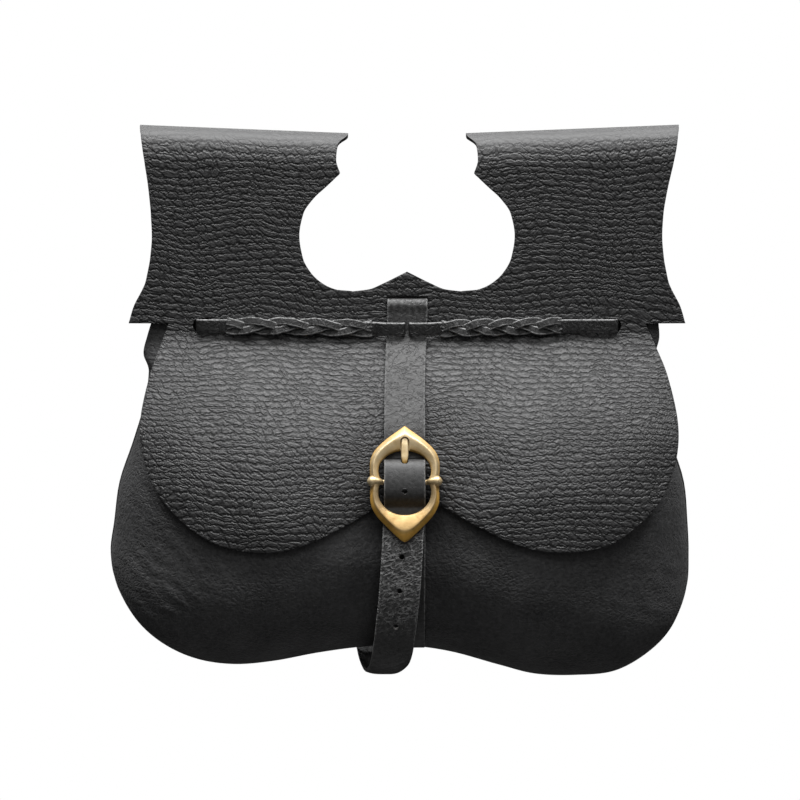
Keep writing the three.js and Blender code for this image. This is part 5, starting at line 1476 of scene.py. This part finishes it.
def grain_leather(grain):
    """Tumbled cowhide: wavy rows whose edges run in low arches, with a steep shoulder below the edge and a
    softer foot above it. A staggered net on the same rows parts them into lying pebbles, and small bumps and
    fine pores lie over all. The grain is pulled nearly flat where the leather is rolled."""
    finish = Finish("grain_leather")
    flat = finish.bent(finish.pattern(), *grain.sweep)
    rough = finish.bent(flat, *grain.bend)
    fine = finish.bent(finish.bent(rough, *grain.wobble), *grain.fray)
    across, up = finish.parts(fine)
    row = finish.product(up, 1 / grain.row)
    edge = finish.number("ROUND", row)
    shift = finish.add("TexWhiteNoise", {"W": edge}, noise_dimensions="1D").outputs["Value"]
    shift = finish.product(shift, grain.shift)
    arch = grain.arches[0][1] / 2
    for width, rise in grain.arches:
        aside = finish.off_middle(finish.sum(shift, across, 1 / width))
        arch = finish.sum(arch, finish.product(aside, aside), -rise / HALF ** 2)
    above = finish.number("SUBTRACT", finish.number("SUBTRACT", row, edge), arch)
    above = finish.product(above, grain.row)
    below = finish.product(above, -1.0)
    body = finish.sum(finish.spread(below, 0.0, grain.shoulder), finish.spread(above, 0.0, grain.foot))
    over = finish.number("GREATER_THAN", above, 0.0)
    fall = finish.sum(finish.sum(1.0, above, grain.slope / grain.row), over, -grain.slope)
    gap_body = finish.spread(finish.noise(rough, *grain.gaps), *grain.gap_body)
    body = finish.number("MAXIMUM", finish.product(body, fall), gap_body)
    staggered = finish.sum(finish.product(across, 1 / grain.pebble_width), row, grain.stagger)
    laid = finish.add("CombineXYZ", {"X": staggered, "Y": row}).outputs["Vector"]
    pebble = finish.product(body, finish.spread(finish.cells(laid, grain.uneven), *grain.groove))
    bumps = finish.spread(finish.nearest(finish.scaled(fine, grain.bump_scale)), *grain.bump_form)
    pores = finish.noise(flat, *grain.pores)
    form = finish.sum(finish.product(pebble, grain.pebble_height), bumps, grain.bump_height)
    height = finish.sum(form, pores, grain.pore_height)
    stretched = finish.mark("stretched")
    slack = finish.spread(stretched, 0.0, 1.0, 1.0, grain.stretched_height)
    finish.relief(finish.product(height, slack), grain.relief)
    # The colour follows the grain's height, so the creases are painted dark as painted shade
    tone = finish.product(finish.sum(form, pores, grain.pore_tone), slack)
    tone = finish.sum(tone, stretched, grain.stretched_tone)
    finish.surface({
        "Base Color": finish.tint(tone, *grain.shades),
        "Roughness": finish.spread(tone, *grain.roughness),
        "Specular IOR Level": grain.specular,
    })
    return finish.material


def pouch_leather(nap):
    """Soft leather with a short nap: a fine net of shallow creases that comes and goes, hair-like scratches,
    folds at the left side, cloudy colour and fine fibres."""
    finish = Finish("pouch_leather")
    place = finish.place()
    flat = finish.scaled(place, (1 / MM, 1 / MM, 1 / MM))
    clouds = finish.noise(place, *nap.clouds)
    fibres = finish.noise(finish.bent(flat, *nap.fibre_bend), *nap.fibres)
    rough = finish.bent(finish.bent(flat, *nap.bend), *nap.fray)
    cell = finish.cells(finish.scaled(rough, nap.cell_scale), nap.uneven, "3D")
    patches = finish.spread(finish.noise(place, *nap.patches), *nap.patched)
    net = finish.product(finish.spread(cell, 0.0, nap.cell_edge), patches)
    slant = finish.bent(flat, *nap.slant_bend)
    hairs = finish.lines(slant, nap.hair_scale, nap.hair_width)
    steep = finish.lines(slant, nap.steep_scale, nap.steep_width, nap.steep_detail)
    left_side = finish.spread(finish.parts(flat)[0], *nap.fold_side)
    folds = finish.product(finish.noise(finish.scaled(rough, nap.fold_scale), *nap.folds), left_side)
    height = finish.sum(net, fibres, nap.fibre_height)
    height = finish.sum(height, hairs, nap.hair_height)
    height = finish.sum(height, steep, nap.steep_height)
    height = finish.sum(height, folds, nap.fold_height)
    finish.relief(height, nap.relief)
    tone = finish.sum(finish.product(clouds, nap.cloud_tone), fibres, nap.fibre_tone)
    tone = finish.sum(tone, net, nap.net_tone)
    finish.surface({
        "Base Color": finish.tint(tone, *nap.shades),
        "Roughness": finish.spread(clouds, *nap.roughness),
        "Specular IOR Level": nap.specular,
        "Sheen Weight": nap.sheen,
        "Sheen Roughness": nap.sheen_roughness,
    })
    return finish.material


def strap_leather(name, nap, greys):
    """Strap leather with a short nap: a net of fine pale ridges where it is creased, faint creases elsewhere,
    a calm stretch where it is smooth, and paler edges. The pale ridges are a painted highlight, the creased
    stretch is painted lighter as painted light, and the paler edges are wear on the straps and a painted
    highlight on the lacings and on the tab's bend. Its colour runs through three greys."""
    finish = Finish(name)
    flat = finish.bent(finish.pattern(), *nap.drift)
    rough = finish.bent(finish.bent(flat, *nap.bend), *nap.fray)
    turned = finish.scaled(rough, (1, 1, 1), nap.turn)
    creased = finish.mark("creased")
    broken = finish.spread(finish.noise(flat, *nap.gaps), *nap.broken)
    net = finish.spread(finish.cells(finish.scaled(turned, nap.cell_scale)), 0.0, nap.cell_edge)
    lying = finish.lines(rough, nap.lying_scale, nap.lying_width)
    ridge = finish.number("SUBTRACT", 1.0, finish.number("MINIMUM", net, lying))
    # Ridges of the creased stretch, painted pale in colour as a painted highlight
    pale = finish.product(finish.product(ridge, broken), creased)
    slant = finish.lines(turned, nap.slant_scale, nap.slant_width)
    level = finish.lines(flat, nap.level_scale, nap.level_width)
    hair = finish.noise(finish.pattern(), *nap.nap)
    height = finish.sum(finish.product(pale, nap.ridge_height), slant, nap.slant_height)
    height = finish.sum(height, level, nap.level_height)
    height = finish.sum(height, hair, nap.nap_height)
    calm = finish.spread(finish.mark("smooth"), 0.0, 1.0, 1.0, nap.smooth_height)
    finish.relief(finish.product(height, calm), nap.relief)
    frayed = finish.spread(finish.noise(flat, *nap.fraying), *nap.frayed)
    # Paler edges: wear on the straps, a painted highlight on the lacings and on the tab's bend
    wear_and_light = finish.sum(finish.product(finish.mark("edge_wear_and_light"), frayed), hair, nap.nap_tone)
    # The creased stretch below the buckle is painted lighter, painted light for the light it catches
    wear_and_light = finish.sum(wear_and_light, creased, nap.crease_tone)
    wear_and_light = finish.sum(wear_and_light, pale, nap.ridge_tone)
    shades = [(stop, (grey, grey, grey)) for stop, grey in zip(nap.shade_stops, greys)]
    finish.surface({
        "Base Color": finish.tint(wear_and_light, *shades),
        "Roughness": finish.spread(wear_and_light, *nap.roughness),
        "Specular IOR Level": nap.specular,
    })
    return finish.material


def bare_fibres(name, hide):
    """Bare fibres of the hide, as on its inner side and on its cut edges. In a punched hole the fibres are
    painted pale, a painted highlight for the light on the hole's lower wall.
    """
    finish = Finish(name)
    place = finish.place()
    fibres = finish.noise(finish.bent(place, *hide.bend) if hide.bend else place, *hide.fibres)
    finish.relief(fibres, hide.relief)
    finish.surface({
        "Base Color": finish.tint(fibres, *hide.shades),
        "Roughness": finish.spread(fibres, *hide.roughness),
        "Specular IOR Level": hide.specular,
    })
    return finish.material


def aged_brass(cast):
    """Cast brass with a cloudy bloom and small casting pits. It is painted paler above, a painted reflection
    of the bright surroundings, and deeper golden below, and brown where tarnish and painted shade are marked.
    """
    finish = Finish("aged_brass")
    place = finish.place()
    bloom = finish.noise(finish.bent(place, *cast.bend), *cast.bloom)
    pits = finish.noise(place, *cast.pits)
    finish.relief(finish.sum(finish.product(bloom, cast.bloom_height), pits, cast.pit_height), cast.relief)
    pale, deep, brown = [finish.tint(bloom, *stops) for stops in (cast.pale, cast.deep, cast.brown)]
    # Brown where tarnish and painted shade are marked
    tarnished = finish.mark("tarnished")
    # Pale above as a painted reflection, deeper golden below
    golden = finish.mixed(finish.mark("golden"), pale, deep)
    finish.surface({
        "Base Color": finish.mixed(tarnished, golden, brown),
        "Roughness": finish.sum(finish.spread(bloom, *cast.roughness), tarnished, cast.tarnish_roughness),
        "Metallic": cast.metallic,
    })
    return finish.material


GRAIN = grain_leather(COVER_GRAIN)
POUCH = pouch_leather(POUCH_NAP)
STRAP = strap_leather("strap_leather", STRAP_NAP, STRAP_GREYS)
FLESH = bare_fibres("flesh_side", FLESH_FIBRES)
CUT_EDGE = bare_fibres("cut_edge", EDGE_FIBRES)
HOLE_WALL_HIGHLIGHT = bare_fibres("hole_wall_highlight", LIT_HOLE_WALL_FIBRES)
LACE = strap_leather("lace_leather", STRAP_NAP, LACE_GREYS)
BRASS = aged_brass(BRASS_CAST)


# Pieces on the frame

def dress(piece, node):
    """A finished piece stands for its node and rides on the bag."""
    crisp(piece)
    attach(piece, "root")
    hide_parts(node)


dress(make_cover(), "cover")
dress(make_pouch_front(), "pouch_front")
dress(make_pouch_back(), "pouch_back")
dress(make_closing_strap(), "closing_strap")
dress(make_buckle_strap(), "buckle_strap")
for lacing_name, lacing in LACINGS.items():
    dress(make_lacing(lacing_name, **lacing), lacing_name)
dress(make_buckle_frame(), "buckle_frame")
dress(make_buckle_pin(), "buckle_pin")


# Studio

def make_floor():
    """Plain pale floor, well below the hanging bag, as a slightly dished disc."""
    share = np.linspace(FLOOR_INNER_SHARE, 1, FLOOR_RINGS)[:, None]
    angle = np.linspace(0, 2 * np.pi, FLOOR_SIDES, endpoint=False)[None, :]
    radius = share * FLOOR_RADIUS
    height = FLOOR_Z + FLOOR_DISH * share ** FLOOR_DISH_POWER
    points = np.stack(np.broadcast_arrays(radius * np.cos(angle), radius * np.sin(angle), height), axis=-1)
    faces = listed(grid_faces(FLOOR_RINGS, FLOOR_SIDES, round_columns=True)[:, ::-1])
    floor = new_piece("floor", points.reshape(-1, 3), faces + [tuple(range(FLOOR_SIDES))])
    finish = Finish("pale_floor")
    clouds = finish.noise(finish.place(), *FLOOR_PAINT.clouds)
    shade = finish.tint(clouds, *FLOOR_PAINT.shades)
    finish.surface({"Base Color": shade, "Roughness": FLOOR_PAINT.roughness})
    floor.data.materials.append(finish.material)


make_floor()


def add_light(name, place, aim, size, power):
    """Rectangular soft light at a place in metres, turned towards an aim."""
    light = bpy.data.lights.new(name, "AREA")
    light.shape = "RECTANGLE"
    light.size, light.size_y = size
    light.energy = power
    lamp = bpy.data.objects.new(name, light)
    lamp.location = place
    lamp.rotation_euler = turn_towards(place, aim)
    lamp.visible_camera = False
    bpy.context.scene.collection.objects.link(lamp)


def turn_towards(place, aim):
    """Rotation that points an object's -Z axis from a place at an aim, with +X level."""
    way = unit(np.asarray(aim, dtype=float) - np.asarray(place, dtype=float))
    return (math.acos(-way[2]), 0.0, math.atan2(-way[0], way[1]))


for light_name, light_values in LIGHTS.items():
    add_light(light_name, **light_values)


def make_surroundings():
    """White surroundings for the camera and dim light for the bag."""
    world = bpy.data.worlds.new("studio")
    world.use_nodes = True
    nodes, links = world.node_tree.nodes, world.node_tree.links
    dim = nodes["Background"]
    dim.inputs["Strength"].default_value = AMBIENT
    white = nodes.new("ShaderNodeBackground")
    white.inputs["Strength"].default_value = BACKGROUND
    for background in (dim, white):
        background.inputs["Color"].default_value = WHITE
    mix = nodes.new("ShaderNodeMixShader")
    links.new(nodes.new("ShaderNodeLightPath").outputs["Is Camera Ray"], mix.inputs[0])
    links.new(dim.outputs[0], mix.inputs[1])
    links.new(white.outputs[0], mix.inputs[2])
    links.new(mix.outputs[0], nodes["World Output"].inputs["Surface"])
    bpy.context.scene.world = world


make_surroundings()
bpy.context.scene.view_settings.view_transform = "Standard"

camera = bpy.data.objects.new("camera", bpy.data.cameras.new("camera"))
camera.data.sensor_width = CAMERA_SENSOR
camera.data.lens = CAMERA_LENS
camera_way = np.array([0, -math.cos(CAMERA_ELEVATION), math.sin(CAMERA_ELEVATION)])
camera.location = CAMERA_TARGET + CAMERA_DISTANCE * camera_way
camera.rotation_euler = turn_towards(camera.location, CAMERA_TARGET)
bpy.context.scene.collection.objects.link(camera)
bpy.context.scene.camera = camera
